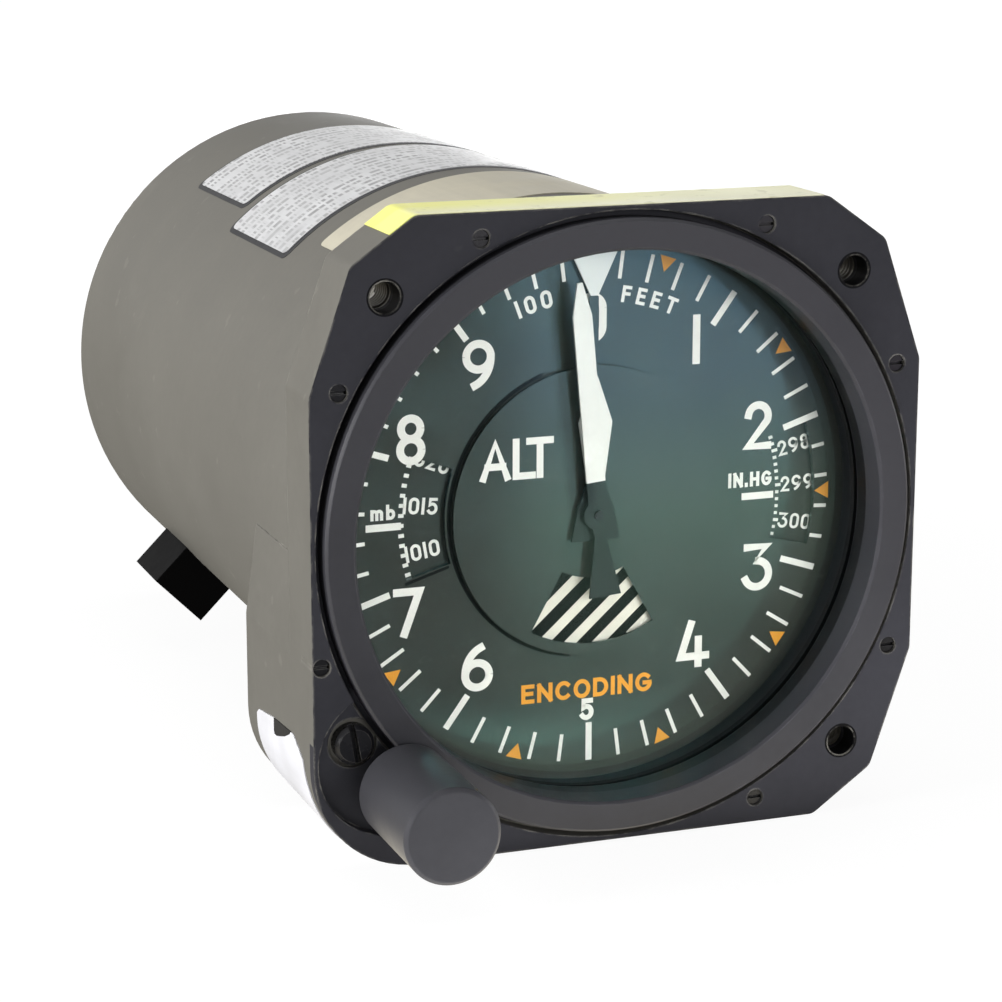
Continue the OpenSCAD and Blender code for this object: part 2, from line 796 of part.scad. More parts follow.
module intermediate_wheel() {
    color(brass) along_y(center_y, center_y + wheel_t) translate(center) difference() {
        gear_gap(center_z, center_m, center_angle + 180);
        circle(arbor_r + press_fit);
        spokes(center_z * center_m / 2, 2.3, 4, 5, 2.2);
    }
}

module intermediate_arbor() {
    color(steel) {
        disc_y(arbor_r, front_plate_y + 0.2, movement_rear_y - 0.2, center);
        along_y(sector_layer_y, sector_layer_y + sector_t) translate(center)
            gear(pinion_z, sector_m, sector_heading + 180);
        along_y(code_wheel_y, code_wheel_y + wheel_t) translate(center) gear(code_pinion_z, train_m, code_angle);
    }
}

module sector() {
    pitch_r = sector_m * sector_z / 2;
    root_r = pitch_r - dedendum * sector_m;
    hub_r = 4.5;
    rim_w = 3.5;
    span = (sector_last - sector_first + 1) * sector_pitch_angle / 2 + 0.5;
    mid = sector_heading + (sector_first + sector_last + 1) * sector_pitch_angle / 2;
    color(brass) along_y(sector_layer_y, sector_layer_y + sector_t) translate(rock) difference() {
        union() {
            circle(hub_r);
            ring_sector(1, root_r, mid, span);
            for (k = [sector_first : sector_last])
                polygon(concat([polar(root_r - 1, sector_heading + (k + 0.5) * sector_pitch_angle)],
                               tooth(pitch_r, sector_heading + (k + 0.5) * sector_pitch_angle, sector_z, sector_m)));
        }
        ring_sector(hub_r + 2, root_r - rim_w, mid, span - 9);
        circle(rock_r + press_fit);
    }
}

module rocking_shaft() {
    color(steel) disc_y(rock_r, rear_plate_y + 0.2, upright_y + frame_t + 0.5, rock);
}

module link_arm() {
    hub_r = 3.4;
    color(brass) {
        along_y(arm_y, arm_y + arm_t) difference() {
            union() {
                translate(rock) circle(hub_r);
                translate(arm_tip) circle(1.6);
                translate(rock) rotate(180 + rest_swing) translate([0, -1.3]) square([arm_r, 2.6]);
            }
            translate(rock) circle(rock_r + press_fit);
        }
        disc_y(crank_pin_r, arm_y - eye_t - 0.6, arm_y + arm_t / 2, arm_tip);
    }
}

module link_rod() {
    eye_half = 2.2;
    slot_half = [crank_pin_r + 0.4, crank_pin_r + 0.22];
    eye_c = [rod_x, arm_tip[1]];
    color(steel) {
        translate([rod_x, capsule_y, rod_end_z]) cylinder(r = rod_r, h = eye_c[1] - eye_half + 0.3 - rod_end_z);
        along_y(capsule_y - eye_t / 2, capsule_y + eye_t / 2) translate(eye_c) difference() {
            square(2 * eye_half, center = true);
            square(2 * slot_half, center = true);
        }
    }
}

// Half profile of one capsule: a flat boss, rings of corrugation and a seamed rim
module capsule_profile() {
    waves = 4;
    steps = 32;
    depth = 0.45;
    boss = 4;
    rim = 1.2;
    half = capsule_t / 2;
    span = capsule_r - rim - boss;
    function crest(i) = half - 0.7 - depth * (1 - cos(360 * waves * i / steps)) / 2;
    polygon(concat([[0, -half], [boss, -half]],
                   [for (i = [0 : steps]) [boss + span * i / steps, -crest(i)]],
                   [[capsule_r, -0.5], [capsule_r, 0.5]],
                   [for (i = [steps : -1 : 0]) [boss + span * i / steps, crest(i)]],
                   [[boss, half], [0, half]]));
}

module aneroid_capsules() {
    top = capsule_top_z + capsule_boss;
    color("#c9a968") translate([rod_x, capsule_y, 0]) difference() {
        union() {
            translate([0, 0, frame_top_z]) cylinder(r = 3.5, h = capsule_top_z - frame_top_z);
            for (i = [0 : 1]) translate([0, 0, capsule_base_z + capsule_t / 2 + i * (capsule_t + capsule_gap)])
                rotate_extrude() capsule_profile();
            translate([0, 0, capsule_top_z - 0.5]) cylinder(r = 2.4, h = capsule_boss + 0.5);
        }
        translate([0, 0, top - guide_depth]) cylinder(r = rod_r + run_fit, h = guide_depth + cut);
    }
}

module capsule_frame() {
    half_w = 14;
    low = frame_top_z - frame_t;
    tab_half = 10;
    tab_top = -12;
    upright_top = 13;
    color("#b9bcc0") difference() {
        union() {
            translate([-half_w, movement_rear_y, low]) cube([2 * half_w, upright_y + frame_t - movement_rear_y, frame_t]);
            translate([-tab_half, movement_rear_y, low]) cube([2 * tab_half, frame_t, tab_top - low]);
            translate([-6, upright_y, low]) cube([half_w + 6, frame_t, upright_top - low]);
        }
        for (p = frame_screw_places) disc_y(pillar_screw_r + press_fit, 0, upright_y - cut, p);
        disc_y(rock_r + run_fit, upright_y - cut, upright_y + frame_t + cut, rock);
    }
}

module encoder_arbor() {
    color(steel) disc_y(arbor_r, rear_plate_y + 0.2, code_y + code_t + 0.6, code_center);
}

// Code disc behind the movement, on a collar
code_t = 0.4;
code_y = movement_rear_y + 1.2;

module encoder_wheel() {
    color(brass) along_y(code_wheel_y, code_wheel_y + wheel_t) translate(code_center) difference() {
        gear_gap(code_wheel_z, train_m, code_angle + 180);
        circle(arbor_r + press_fit);
    }
}

module encoder_disc() {
    color("#d8dde0") difference() {
        union() {
            disc_y(code_r, code_y, code_y + code_t, code_center);
            disc_y(2.2, movement_rear_y + layer_gap, code_y + code_t, code_center);
        }
        disc_y(arbor_r + press_fit, 0, code_y + cut, code_center);
    }
}

module encoder_reader() {
    slot_room = 0.5;
    color("#1d1f22") difference() {
        translate([reader_x, movement_rear_y, code_center[1] - reader_size[2] / 2]) cube(reader_size);
        disc_y(code_r + slot_room, code_y - slot_room, code_y + code_t + slot_room, code_center);
    }
}

module encoder_board() {
    color("#2f6b3f") along_y(board_y, board_y + board_t) difference() {
        translate(board_low) square(board_size);
        for (p = standoffs) translate(p) circle(pillar_screw_r + 0.2);
    }
}

module board_standoffs() {
    color(steel) for (p = standoffs) {
        disc_y(pillar_r, upright_y + frame_t, board_y, p);
        disc_y(pillar_screw_r, board_y - 0.5, board_y + board_t + 0.6, p);
    }
}

module board_chips() {
    color("#1d1f22") for (p = [[-16, -18, 9, 9], [-15, 4, 14, 6], [4, 8, 10, 5], [2, -14, 7, 12]])
        translate([p[0], board_y + board_t, p[1]]) cube([p[2], 2, p[3]]);
}

module encoder_connector() {
    inset = cap_wall + press_fit;
    color("#2a2a2d") side_block(cap_w - 2 * inset, cap_y + inset, cap_y + cap_len - inset,
                                bore_r - 3, cap_reach - inset);
}

module connector_cap() {
    color("#111113") difference() {
        side_block(cap_w, cap_y, cap_y + cap_len, cap_foot, cap_reach);
        side_block(cap_w - 2 * cap_wall, cap_y + cap_wall, cap_y + cap_len - cap_wall,
                   cap_foot - cut, cap_reach - cap_wall);
    }
}

module static_port() {
    flange_r = port_r + 3.6;
    proud = 1.5;
    color(steel) difference() {
        union() {
            along_y(case_len, case_len + proud) translate([0, port_z]) circle(flange_r, $fn = 6);
            disc_y(port_r + 1.6, case_len + proud - port_len, case_len + proud, [0, port_z]);
        }
        disc_y(port_r, case_len + proud - port_len - cut, case_len + proud + cut, [0, port_z]);
    }
}

case();
bezel_ring();
glass();
glass_gasket();
face_screws();
panel_inserts();
knob();
knob_shaft();
baro_pinion();
knob_bushing();
lock_screw();
dial_ring();
dial();
baro_scale();
pointer_100();
staff_100();
pointer_1000();
sleeve_1000();
wheel_1000();
pointer_10000();
sleeve_10000();
wheel_10000();
idler_a_arbor();
idler_a_wheel();
idler_b_arbor();
idler_b_wheel();
intermediate_wheel();
intermediate_arbor();
sector();
rocking_shaft();
link_arm();
link_rod();
aneroid_capsules();
capsule_frame();
front_plate();
rear_plate();
sector_plate();
pillars();
spacers();
pillar_screws();
plate_screws();
frame_screws();
encoder_arbor();
encoder_wheel();
encoder_disc();
encoder_reader();
encoder_board();
board_standoffs();
board_chips();
encoder_connector();
connector_cap();
static_port();
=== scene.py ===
"""Finish of a three-pointer encoding altimeter: paint, dial print, labels, glass and a plain studio.

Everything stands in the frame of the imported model, in metres: X to the right, Y into the case, Z up, with the face of
the flange at Y = 0 and the pointers' axis along Y. Sizes that are written in millimetres are multiplied by MM.
"""

from functools import partial, partialmethod

import bmesh
import bpy
import numpy as np
from mathutils import Matrix, Vector


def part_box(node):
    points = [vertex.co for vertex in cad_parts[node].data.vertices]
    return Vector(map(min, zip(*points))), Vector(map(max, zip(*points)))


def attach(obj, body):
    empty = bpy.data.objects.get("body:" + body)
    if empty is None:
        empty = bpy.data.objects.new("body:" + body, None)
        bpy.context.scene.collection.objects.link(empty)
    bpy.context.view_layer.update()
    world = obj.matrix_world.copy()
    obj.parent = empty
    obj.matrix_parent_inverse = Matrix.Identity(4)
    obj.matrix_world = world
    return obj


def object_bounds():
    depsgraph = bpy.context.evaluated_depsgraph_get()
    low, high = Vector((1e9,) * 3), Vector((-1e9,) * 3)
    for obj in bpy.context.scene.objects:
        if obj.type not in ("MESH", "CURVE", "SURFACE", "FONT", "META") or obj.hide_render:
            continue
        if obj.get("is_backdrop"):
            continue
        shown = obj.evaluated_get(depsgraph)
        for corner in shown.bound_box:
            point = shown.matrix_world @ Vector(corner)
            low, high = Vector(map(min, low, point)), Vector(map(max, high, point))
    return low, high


bl_info = {
    "name": "Altimeter finish",
    "version": (1, 0, 0),
    "blender": (4, 5, 0),
    "location": "3D View > Sidebar > Altimeter",
    "description": "Paint, dial print, labels, glass and studio of an aircraft altimeter",
    "category": "Object",
}

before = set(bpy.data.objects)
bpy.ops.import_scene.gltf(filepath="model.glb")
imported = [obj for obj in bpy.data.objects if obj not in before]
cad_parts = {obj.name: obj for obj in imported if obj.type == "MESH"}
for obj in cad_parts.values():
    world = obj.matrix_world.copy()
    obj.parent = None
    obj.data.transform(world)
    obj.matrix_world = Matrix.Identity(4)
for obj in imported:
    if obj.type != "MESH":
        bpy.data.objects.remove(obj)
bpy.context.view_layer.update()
MM = 0.001
INK = 0.03 * MM
DIAL_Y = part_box("dial")[0].y
SCALE_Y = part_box("baro_scale")[0].y
DISC_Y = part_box("pointer_10000")[0].y
FLANGE_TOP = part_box("case")[1].z / MM

# In millimetres: radius of the can, rear of the charcoal in the flange, and place of the panel holes
CAN_R, FLANGE_BACK, HOLE_AT = 39.6, 9.9, 31.43
# Black of painted shade: round the mouths of the panel holes and on the ring's inner wall by the glass
PAINTED_SHADE_BLACK = (0.004, 0.004, 0.005)
# Pressures at the two indexes, and how they compare
INCHES, MILLIBARS, MB_PER_INCH = 29.92, 1013.2, 33.8639
# Clock angles between which the short ticks start further out, beside the windows, and where
SHORT_TICKS = ((72.5, 103, 32.3), (255, 283, 30.8))
# Middles of the large numerals
NUMERALS = {
    "1": (14.7, 21.6), "2": (23.8, 9.5), "3": (24.1, -9.8), "4": (14.95, -19.6), "6": (-15.65, -19.7),
    "7": (-25, -11.5), "8": (-24.5, 11.1), "9": (-15.4, 20.1), "0": (0, 25.3),
}


def mm(*values):
    """Lengths or points in metres, from millimetres."""
    return np.array(values) * MM


def srgb(code):
    """Linear colour of a hexadecimal sRGB code, by the usual power law of 2.4 with its straight foot."""
    v = np.array([int(code[i : i + 2], 16) for i in (0, 2, 4)]) / 255
    return tuple(np.where(v <= 0.04045, v / 12.92, ((v + 0.055) / 1.055) ** 2.4))


def colour(name, text, code):
    """A colour that a user may change."""
    return bpy.props.FloatVectorProperty(
        name=name, description=text, subtype="COLOR", size=3, min=0, max=1, default=srgb(code)
    )


def length(name, text, millimetres):
    """A length that a user may change, in millimetres here and in metres in Blender."""
    return bpy.props.FloatProperty(name=name, description=text, default=millimetres * MM, unit="LENGTH", precision=5)


def angle(name, text, degrees):
    """An angle that a user may change."""
    return bpy.props.FloatProperty(name=name, description=text, default=np.radians(degrees), unit="ROTATION")


def number(name, text, value):
    """A plain number that a user may change."""
    return bpy.props.FloatProperty(name=name, description=text, default=value)


def vector(name, text, value, **kind):
    """A direction or a place that a user may change."""
    return bpy.props.FloatVectorProperty(name=name, description=text, default=value, **kind)


def part(kind, name, text):
    """A group of settings inside another."""
    return bpy.props.PointerProperty(type=kind, name=name, description=text)


class AltimeterColours(bpy.types.PropertyGroup):
    """Colours of the paints, inks, labels and metals."""

    case_grey: colour("Case grey", "Grey paint of the can and of the flange's sides", "6d6b65")
    face_black: colour("Face black", "Charcoal paint of the flange's face and of the ring", "37373c")
    dial_black: colour("Dial black", "Charcoal paint of the dial, the scale and the disc", "3f3f3b")
    white_ink: colour("White ink", "White print and white pointers", "f4f2ee")
    cream_ink: colour("Cream ink", "Stripes under the disc's window", "ece8dc")
    orange_ink: colour("Orange ink", "Triangles and the word under the hub", "f0a436")
    pointer_black: colour("Pointer black", "Charcoal tails and hubs of the pointers", "2c2e2f")
    knob_black: colour("Knob black", "Moulded plastic of the setting knob", "3c3c40")
    silver_label: colour("Silver label", "Foil of the two plates on the can", "d4d4d5")
    cream_label: colour("Cream label", "Paper of the label behind the flange", "c6c0ad")
    yellow_tape: colour("Yellow tape", "Tape on the top of the flange", "f6f584")
    brass: colour("Brass", "Wheels, plates and pillars", "b8934a")
    steel: colour("Steel", "Arbors, screws and shafts", "9c9ea1")


class AltimeterDial(bpy.types.PropertyGroup):
    """Sizes of the print on the dial."""

    tick_out: length("Tick end", "Outer end of the ticks from the axis", 34.1)
    major_in: length("Long tick start", "Inner end of the long ticks from the axis", 28.9)
    minor_in: length("Short tick start", "Inner end of the short ticks from the axis", 30.4)
    major_width: length("Long tick width", "Width of the long ticks", 0.85)
    minor_width: length("Short tick width", "Width of the short ticks", 0.5)
    numeral: length("Numeral height", "Height of the large numerals", 6.55)
    stroke: length("Numeral stroke", "Width of the stroke of the large numerals", 1.04)
    triangle: length("Triangle side", "Side of the orange triangles", 2.3)
    stripe: length("Stripe width", "Width of the stripes under the disc's window", 1.35)


class AltimeterLabels(bpy.types.PropertyGroup):
    """Places of the labels on the can."""

    thickness: length("Label thickness", "Thickness of a label", 0.14)
    border: length("Dark border", "Width of the dark border round a plate", 1.3)
    front_from: length("Front plate start", "Front edge of the front plate", 57.3)
    front_to: length("Front plate end", "Rear edge of the front plate", 85.5)
    front_left: angle("Front plate left end", "Left end of the front plate from the top", -44)
    rear_from: length("Rear plate start", "Front edge of the rear plate", 90)
    rear_to: length("Rear plate end", "Rear edge of the rear plate", 116)
    rear_left: angle("Rear plate left end", "Left end of the rear plate from the top", -38)
    cream_from: length("Cream label start", "Front edge of the cream label", 24)
    cream_to: length("Cream label end", "Rear edge of the cream label", 49)
    cream_left: angle("Cream label left end", "Left end of the cream label from the top", -39)
    right_end: angle("Right ends", "Right ends of the labels from the top", 40)


class AltimeterStudio(bpy.types.PropertyGroup):
    """Camera and lamps."""

    camera: vector("Camera", "Place of the camera", (-0.136461, -0.32688, 0.087643), subtype="TRANSLATION")
    forward: vector("Camera direction", "Direction of view", (0.33507, 0.91351, -0.23072))
    upward: vector("Camera up", "Direction of the top of the picture", (0.07917, 0.21671, 0.97302))
    lens: number("Lens", "Focal length in mm on a 36 mm sensor", 103.606)
    key: number("Key lamp", "Lamp at the front right, in watts", 1.25)
    left: number("Left lamp", "Broad lamp at the left, in watts", 7.9)
    top: number("Top lamp", "Broad lamp overhead, in watts", 2)
    side: number("Side lamps", "Lamps at the right and behind, in watts", 1.6)
    sky: number("Room light", "Strength of the even light of the room", 0.2)


class AltimeterSettings(bpy.types.PropertyGroup):
    """All the settings of the altimeter's finish."""

    colours: part(AltimeterColours, "Colours", "Colours of the finishes")
    dial: part(AltimeterDial, "Dial", "Sizes of the dial's print")
    labels: part(AltimeterLabels, "Labels", "Places of the labels")
    studio: part(AltimeterStudio, "Studio", "Camera and lamps")


def settings():
    """The altimeter's settings in this scene."""
    return bpy.context.scene.altimeter


# Surfaces: each is a pair of arrays, the points and the quads that join them


def grid_quads(rows, columns, wrap=False):
    """Quads of a rows by columns grid: each joins a point with the next in its row and the two below them.
    With wrap the last column joins the first."""
    i, j = np.meshgrid(np.arange(rows - 1), np.arange(columns if wrap else columns - 1), indexing="ij")
    a = i * columns + j
    b = i * columns + (j + 1) % columns
    return np.stack([a, b, b + columns, a + columns], -1).reshape(-1, 4)


def section_along(sections):
    """Closed bar through a row of four-cornered sections, an array of n by 4 by 3, with both ends shut."""
    n = len(sections)
    ends = np.array([[3, 2, 1, 0], [4 * n - 4, 4 * n - 3, 4 * n - 2, 4 * n - 1]])
    return np.asarray(sections).reshape(-1, 3), np.vstack([grid_quads(n, 4, wrap=True), ends])


def slab(left, right, y, thick=INK):
    """Flat bar on a plane of constant y, between two rows of (x, z) points."""
    corners = [(left, y), (right, y), (right, y - thick), (left, y - thick)]
    return section_along(np.stack([np.column_stack([p[:, 0], 0 * p[:, 0] + v, p[:, 1]]) for p, v in corners], 1))


def ribbon(path, width, y, thick=INK):
    """Flat stroke on a plane of constant y: a rectangle carried along a path of (x, z) points.
    At each point the sides stand half a width off along the bisector of the two segments, divided by the cosine of
    half the turn, so that the stroke keeps its width round corners."""
    path = np.asarray(path, float)
    step = np.diff(path, axis=0)
    step /= np.linalg.norm(step, axis=1, keepdims=True)
    both = np.vstack([step[:1], step]) + np.vstack([step, step[-1:]])
    side = np.column_stack([-both[:, 1], both[:, 0]])
    side *= width / np.maximum((side**2).sum(1, keepdims=True), 1)
    return slab(path + side, path - side, y, thick)


def curved_plate(left, right, front, rear, radius, thick, corner, skew=0, steps=64):
    """Label bent round the can: a rectangle in (y, radius) carried through the angles from left to right.
    Near both ends its y edges draw in by c - sqrt(c^2 - (c - s)^2) at the distance s from the end, so the corners are
    rounded, and skew moves it along y with the angle."""
    even = np.linspace(left, right, steps)
    near = left + np.linspace(0, 1, 12) ** 2 * corner / radius
    t = np.unique(np.concatenate([even, near, right - (near - left)]))
    s = np.minimum(np.minimum(t - left, right - t) * radius, corner)
    draw = corner - np.sqrt(np.maximum(corner**2 - (corner - s) ** 2, 0))
    shift = skew * (t - left)
    rows = []
    low, high = front + draw, rear - draw
    for y, r in ((low, radius), (high, radius), (high, radius + thick), (low, radius + thick)):
        rows.append(np.column_stack([r * np.sin(t), y + shift, r * np.cos(t)]))
    return section_along(np.stack(rows, 1))


def wrapped(path, thick, front, rear):
    """Tape or label laid over an outline: each (x, z) point of the path spans from its front y to its rear y, and the
    outer face stands a thickness off along the path's normal, its direction turned a quarter to the left."""
    path = np.asarray(path, float)
    along = np.gradient(path, axis=0)
    along /= np.linalg.norm(along, axis=1, keepdims=True)
    outer = path + thick * np.column_stack([-along[:, 1], along[:, 0]])
    front, rear = np.broadcast_to(front, len(path)), np.broadcast_to(rear, len(path))
    corners = ((path, front), (path, rear), (outer, rear), (outer, front))
    return section_along(np.stack([np.column_stack([q[:, 0], y, q[:, 1]]) for q, y in corners], 1))


def helix(axis, radius, depth, pitch, start, stop, steps=28):
    """Thread: a triangular ridge of the given depth, carried inwards along a helix about an axis parallel to Y."""
    t = np.linspace(0, 2 * np.pi * (stop - start) / pitch, int(steps * (stop - start) / pitch))
    y = start + t * pitch / (2 * np.pi)
    rows = []
    for dr, dy in ((0.02 * MM, -0.42), (0.02 * MM, 0.42), (-depth, 0.08), (-depth, -0.08)):
        r = radius + dr
        rows.append(np.column_stack([axis[0] + r * np.sin(t), y + dy * pitch, axis[1] + r * np.cos(t)]))
    return section_along(np.stack(rows, 1))


def make_piece(name, parts, material, body="housing", slot="dial_paint", smooth=None):
    """Joins surfaces into one mesh at the origin, turns its faces outwards and lets it ride on a body."""
    starts = np.cumsum([0] + [len(points) for points, _ in parts])
    points = np.concatenate([p for p, _ in parts])
    quads = np.concatenate([q + s for (_, q), s in zip(parts, starts)])
    mesh = bpy.data.meshes.new(name)
    mesh.from_pydata(points.tolist(), [], quads.tolist())
    mesh.update()
    work = bmesh.new()
    work.from_mesh(mesh)
    bmesh.ops.recalc_face_normals(work, faces=work.faces)
    work.to_mesh(mesh)
    work.free()
    if smooth is not None:
        mesh.shade_smooth()
        mesh.set_sharp_from_angle(angle=np.radians(smooth))
    mesh.materials.append(material)
    piece = bpy.data.objects.new(name, mesh)
    bpy.context.scene.collection.objects.link(piece)
    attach(piece, body)


stick = partial(make_piece, slot="case_paint", smooth=30)


# Lettering: single strokes on a cell one unit high


def arc(x, z, rx, rz, start, stop, n=22):
    """Points of an ellipse about (x, z) between two angles in degrees."""
    t = np.radians(np.linspace(start, stop, n))
    return np.column_stack([x + rx * np.cos(t), z + rz * np.sin(t)])


def joined(*parts):
    """One stroke through several runs of points."""
    return np.vstack(parts)


SIX = [arc(0.62, 0.33, 0.62, 0.69, 112, 180), arc(0.3, 0.3, 0.3, 0.3, 0, 360, 40)]
GLYPHS = {
    "0": (0.56, [joined(arc(0.28, 0.72, 0.28, 0.28, 0, 180), arc(0.28, 0.28, 0.28, 0.28, 180, 360), (0.56, 0.72))]),
    "1": (0, [[(0, 0), (0, 1)]]),
    "2": (0.52, [joined(arc(0.26, 0.73, 0.26, 0.27, 172, -28), (0, 0), (0.52, 0))]),
    "3": (0.61, [joined((0.03, 1), (0.56, 1), (0.21, 0.6), arc(0.29, 0.326, 0.32, 0.326, 92, -156, 30))]),
    "4": (0.66, [[(0.26, 1), (0, 0.19), (0.66, 0.19)], [(0.46, 0.6), (0.46, 0)]]),
    "5": (0.56, [joined((0.52, 1), (0.1, 1), (0.05, 0.56), arc(0.26, 0.33, 0.3, 0.33, 118, -145, 30))]),
    "6": (0.6, SIX),
    "7": (0.55, [[(0, 1), (0.55, 1), (0.18, 0)]]),
    "8": (0.52, [arc(0.26, 0.76, 0.235, 0.24, 0, 360, 40), arc(0.26, 0.26, 0.26, 0.26, 0, 360, 40)]),
    "9": (0.6, [np.array([0.6, 1]) - s for s in SIX]),
    "A": (0.72, [[(0, 0), (0.36, 1), (0.72, 0)], [(0.13, 0.32), (0.59, 0.32)]]),
    "C": (0.62, [arc(0.34, 0.5, 0.34, 0.5, 48, 312, 30)]),
    "D": (0.6, [joined((0.24, 0), (0, 0), (0, 1), arc(0.24, 0.5, 0.36, 0.5, 90, -90, 26))]),
    "E": (0.48, [[(0.48, 0), (0, 0), (0, 1), (0.48, 1)], [(0, 0.52), (0.42, 0.52)]]),
    "F": (0.48, [[(0, 0), (0, 1), (0.48, 1)], [(0, 0.52), (0.42, 0.52)]]),
    "G": (0.66, [joined(arc(0.35, 0.5, 0.35, 0.5, 48, 345, 30), (0.68, 0.46), (0.4, 0.46))]),
    "H": (0.58, [[(0, 0), (0, 1)], [(0.58, 0), (0.58, 1)], [(0, 0.5), (0.58, 0.5)]]),
    "I": (0, [[(0, 0), (0, 1)]]),
    "L": (0.5, [[(0, 1), (0, 0), (0.5, 0)]]),
    "N": (0.6, [[(0, 0), (0, 1)], [(0, 1), (0.6, 0)], [(0.6, 0), (0.6, 1)]]),
    "O": (0.68, [arc(0.34, 0.5, 0.34, 0.5, 0, 360, 40)]),
    "T": (0.64, [[(0, 1), (0.64, 1)], [(0.32, 1), (0.32, 0)]]),
    "b": (0.5, [[(0, 1), (0, 0)], arc(0.25, 0.31, 0.25, 0.31, 0, 360, 30)]),
    "m": (0.8, [[(0, 0), (0, 0.66)], joined(arc(0.2, 0.44, 0.2, 0.2, 180, 0), (0.4, 0)),
                joined(arc(0.6, 0.44, 0.2, 0.2, 180, 0), (0.8, 0))]),
    ".": (0, [[(0, -0.02), (0, 0.08)]]),
}


def capped(path, by):
    """An open path made longer at both ends, along its end segments; a closed one stays as it is."""
    path = np.array(path, float)
    if not np.allclose(path[0], path[-1]):
        out = path[[0, -1]] - path[[1, -2]]
        path[[0, -1]] += by * out / np.linalg.norm(out, axis=1, keepdims=True)
    return path


def letters(text, height, stroke, gap=0.3, wide=1):
    """Strokes of a word, each with its middle line, about the word's own middle. Heights are over the strokes, and wide
    stretches the letters across."""
    tall = height - stroke
    widths = [GLYPHS[c][0] * tall * wide for c in text]
    steps = np.cumsum([0] + [w + stroke + gap * height for w in widths])
    whole = steps[-1] - stroke - gap * height
    made = []
    for c, start, width in zip(text, steps - whole / 2, widths):
        for path in GLYPHS[c][1]:
            line = capped(np.asarray(path) * (tall * wide, tall), stroke / 2) + (start, -tall / 2)
            made.append((line, start + width / 2))
    return made


def turn(points, degrees):
    """Points of the dial plane turned clockwise about the axis."""
    t = np.radians(degrees)
    return np.asarray(points) @ np.array([[np.cos(t), -np.sin(t)], [np.sin(t), np.cos(t)]])


def layer(k):
    """Thickness of the k-th stroke of a word: four steps in turn, so that strokes that cross don't share a surface."""
    return INK * (1 + 0.3 * (k % 4))


def word(text, at, height, stroke, y, gap=0.3, wide=1):
    """A straight word about a point of the dial."""
    strokes = letters(text, height, stroke, gap, wide)
    return [ribbon(p + at, stroke, y, layer(k)) for k, (p, _) in enumerate(strokes)]


def arc_word(text, radius, middle, height, stroke, y, gap=0.3):
    """A word on a circle about the axis: each letter stands at its own clock angle, its top outwards."""
    made = []
    for k, (path, centre) in enumerate(letters(text, height, stroke, gap)):
        upright = path - (centre, 0) + (0, radius)
        made.append(ribbon(turn(upright, middle + np.degrees(centre / radius)), stroke, y, layer(k)))
    return made


def tick(clock, inner, outer, width, y):
    """A radial bar at a clock angle."""
    return ribbon(turn([(0, inner), (0, outer)], clock), width, y)


# Materials: a Tree adds nodes, and a Wire is a value that runs between them


class Wire:
    """A value in a node tree: sums, products and comparisons of it add Math nodes, and | takes the larger of two."""

    def __init__(self, tree, socket):
        self.tree, self.socket = tree, socket

    def maths(self, operation, other=0):
        """Result of a Math node."""
        return self.tree.maths(operation, self, other)

    def span(self, low, high, to_low=0, to_high=1):
        """Maps the value from one range to another, held at both ends."""
        return self.tree.add("MapRange", {0: self, 1: low, 2: high, 3: to_low, 4: to_high})

    __add__ = partialmethod(maths, "ADD")
    __sub__ = partialmethod(maths, "SUBTRACT")
    __mul__ = partialmethod(maths, "MULTIPLY")
    __lt__ = partialmethod(maths, "LESS_THAN")
    __gt__ = partialmethod(maths, "GREATER_THAN")
    __or__ = partialmethod(maths, "MAXIMUM")
    __abs__ = partialmethod(maths, "ABSOLUTE")


class Tree:
    """A shader node tree that is being built."""

    def __init__(self, tree):
        self.tree = tree

    def feed(self, value, socket):
        """Feeds a socket from a wire, or sets it to a plain value."""
        if isinstance(value, Wire):
            self.tree.links.new(value.socket, socket)
        elif socket.type == "RGBA" and len(value) == 3:
            socket.default_value = (*value, 1)
        else:
            socket.default_value = value

    def wires(self, kind, inputs=None, **options):
        """Adds a node with its options, feeds its inputs, and gives its outputs."""
        node = self.tree.nodes.new("ShaderNode" + kind)
        for key, value in options.items():
            setattr(node, key, value)
        for key, value in (inputs or {}).items():
            self.feed(value, node.inputs[key])
        return node.outputs

    def add(self, kind, inputs=None, output=0, **options):
        """Adds a node and gives one of its outputs."""
        return Wire(self, self.wires(kind, inputs, **options)[output])

    def maths(self, operation, a, b=0):
        """Result of a Math node of two values."""
        return self.add("Math", {0: a, 1: b}, operation=operation)

    def blend(self, factor, a, b):
        """Mix of two colours."""
        return self.add("Mix", {0: factor, 6: a, 7: b}, 2, data_type="RGBA")

    def shades(self, factor, base, low, high):
        """Mix of a darker and a lighter shade of one colour."""
        return self.blend(factor, scaled(base, low), scaled(base, high))

    def where(self):
        """Object coordinates."""
        return self.add("TexCoord", output="Object")

    def stretched(self, by):
        """Object coordinates times a factor for each axis."""
        return self.add("VectorMath", {0: self.where(), 1: by}, operation="MULTIPLY")

    def coordinates(self):
        """Object coordinates in millimetres, as the three values X, Y and Z."""
        return [Wire(self, out) for out in self.wires("SeparateXYZ", {0: self.stretched((1 / MM, 1 / MM, 1 / MM))})]

    def rays(self, *kinds):
        """Whether the ray is of a kind, for each of the kinds asked for."""
        path = self.wires("LightPath")
        return [Wire(self, path[f"Is {kind} Ray"]) for kind in kinds]

    def noise(self, where, scale, detail=3, rough=0.5, distort=0):
        """Value of a Noise texture."""
        inputs = {"Vector": where, "Scale": scale, "Detail": detail, "Roughness": rough, "Distortion": distort}
        return self.add("TexNoise", inputs)

    def use(self, name, **inputs):
        """Places a shared node group, built at its first use, and gives its outputs by name."""
        made = bpy.data.node_groups.get(name) or shared_group(name)
        return {out.name: Wire(self, out) for out in self.wires("Group", inputs, node_tree=made)}


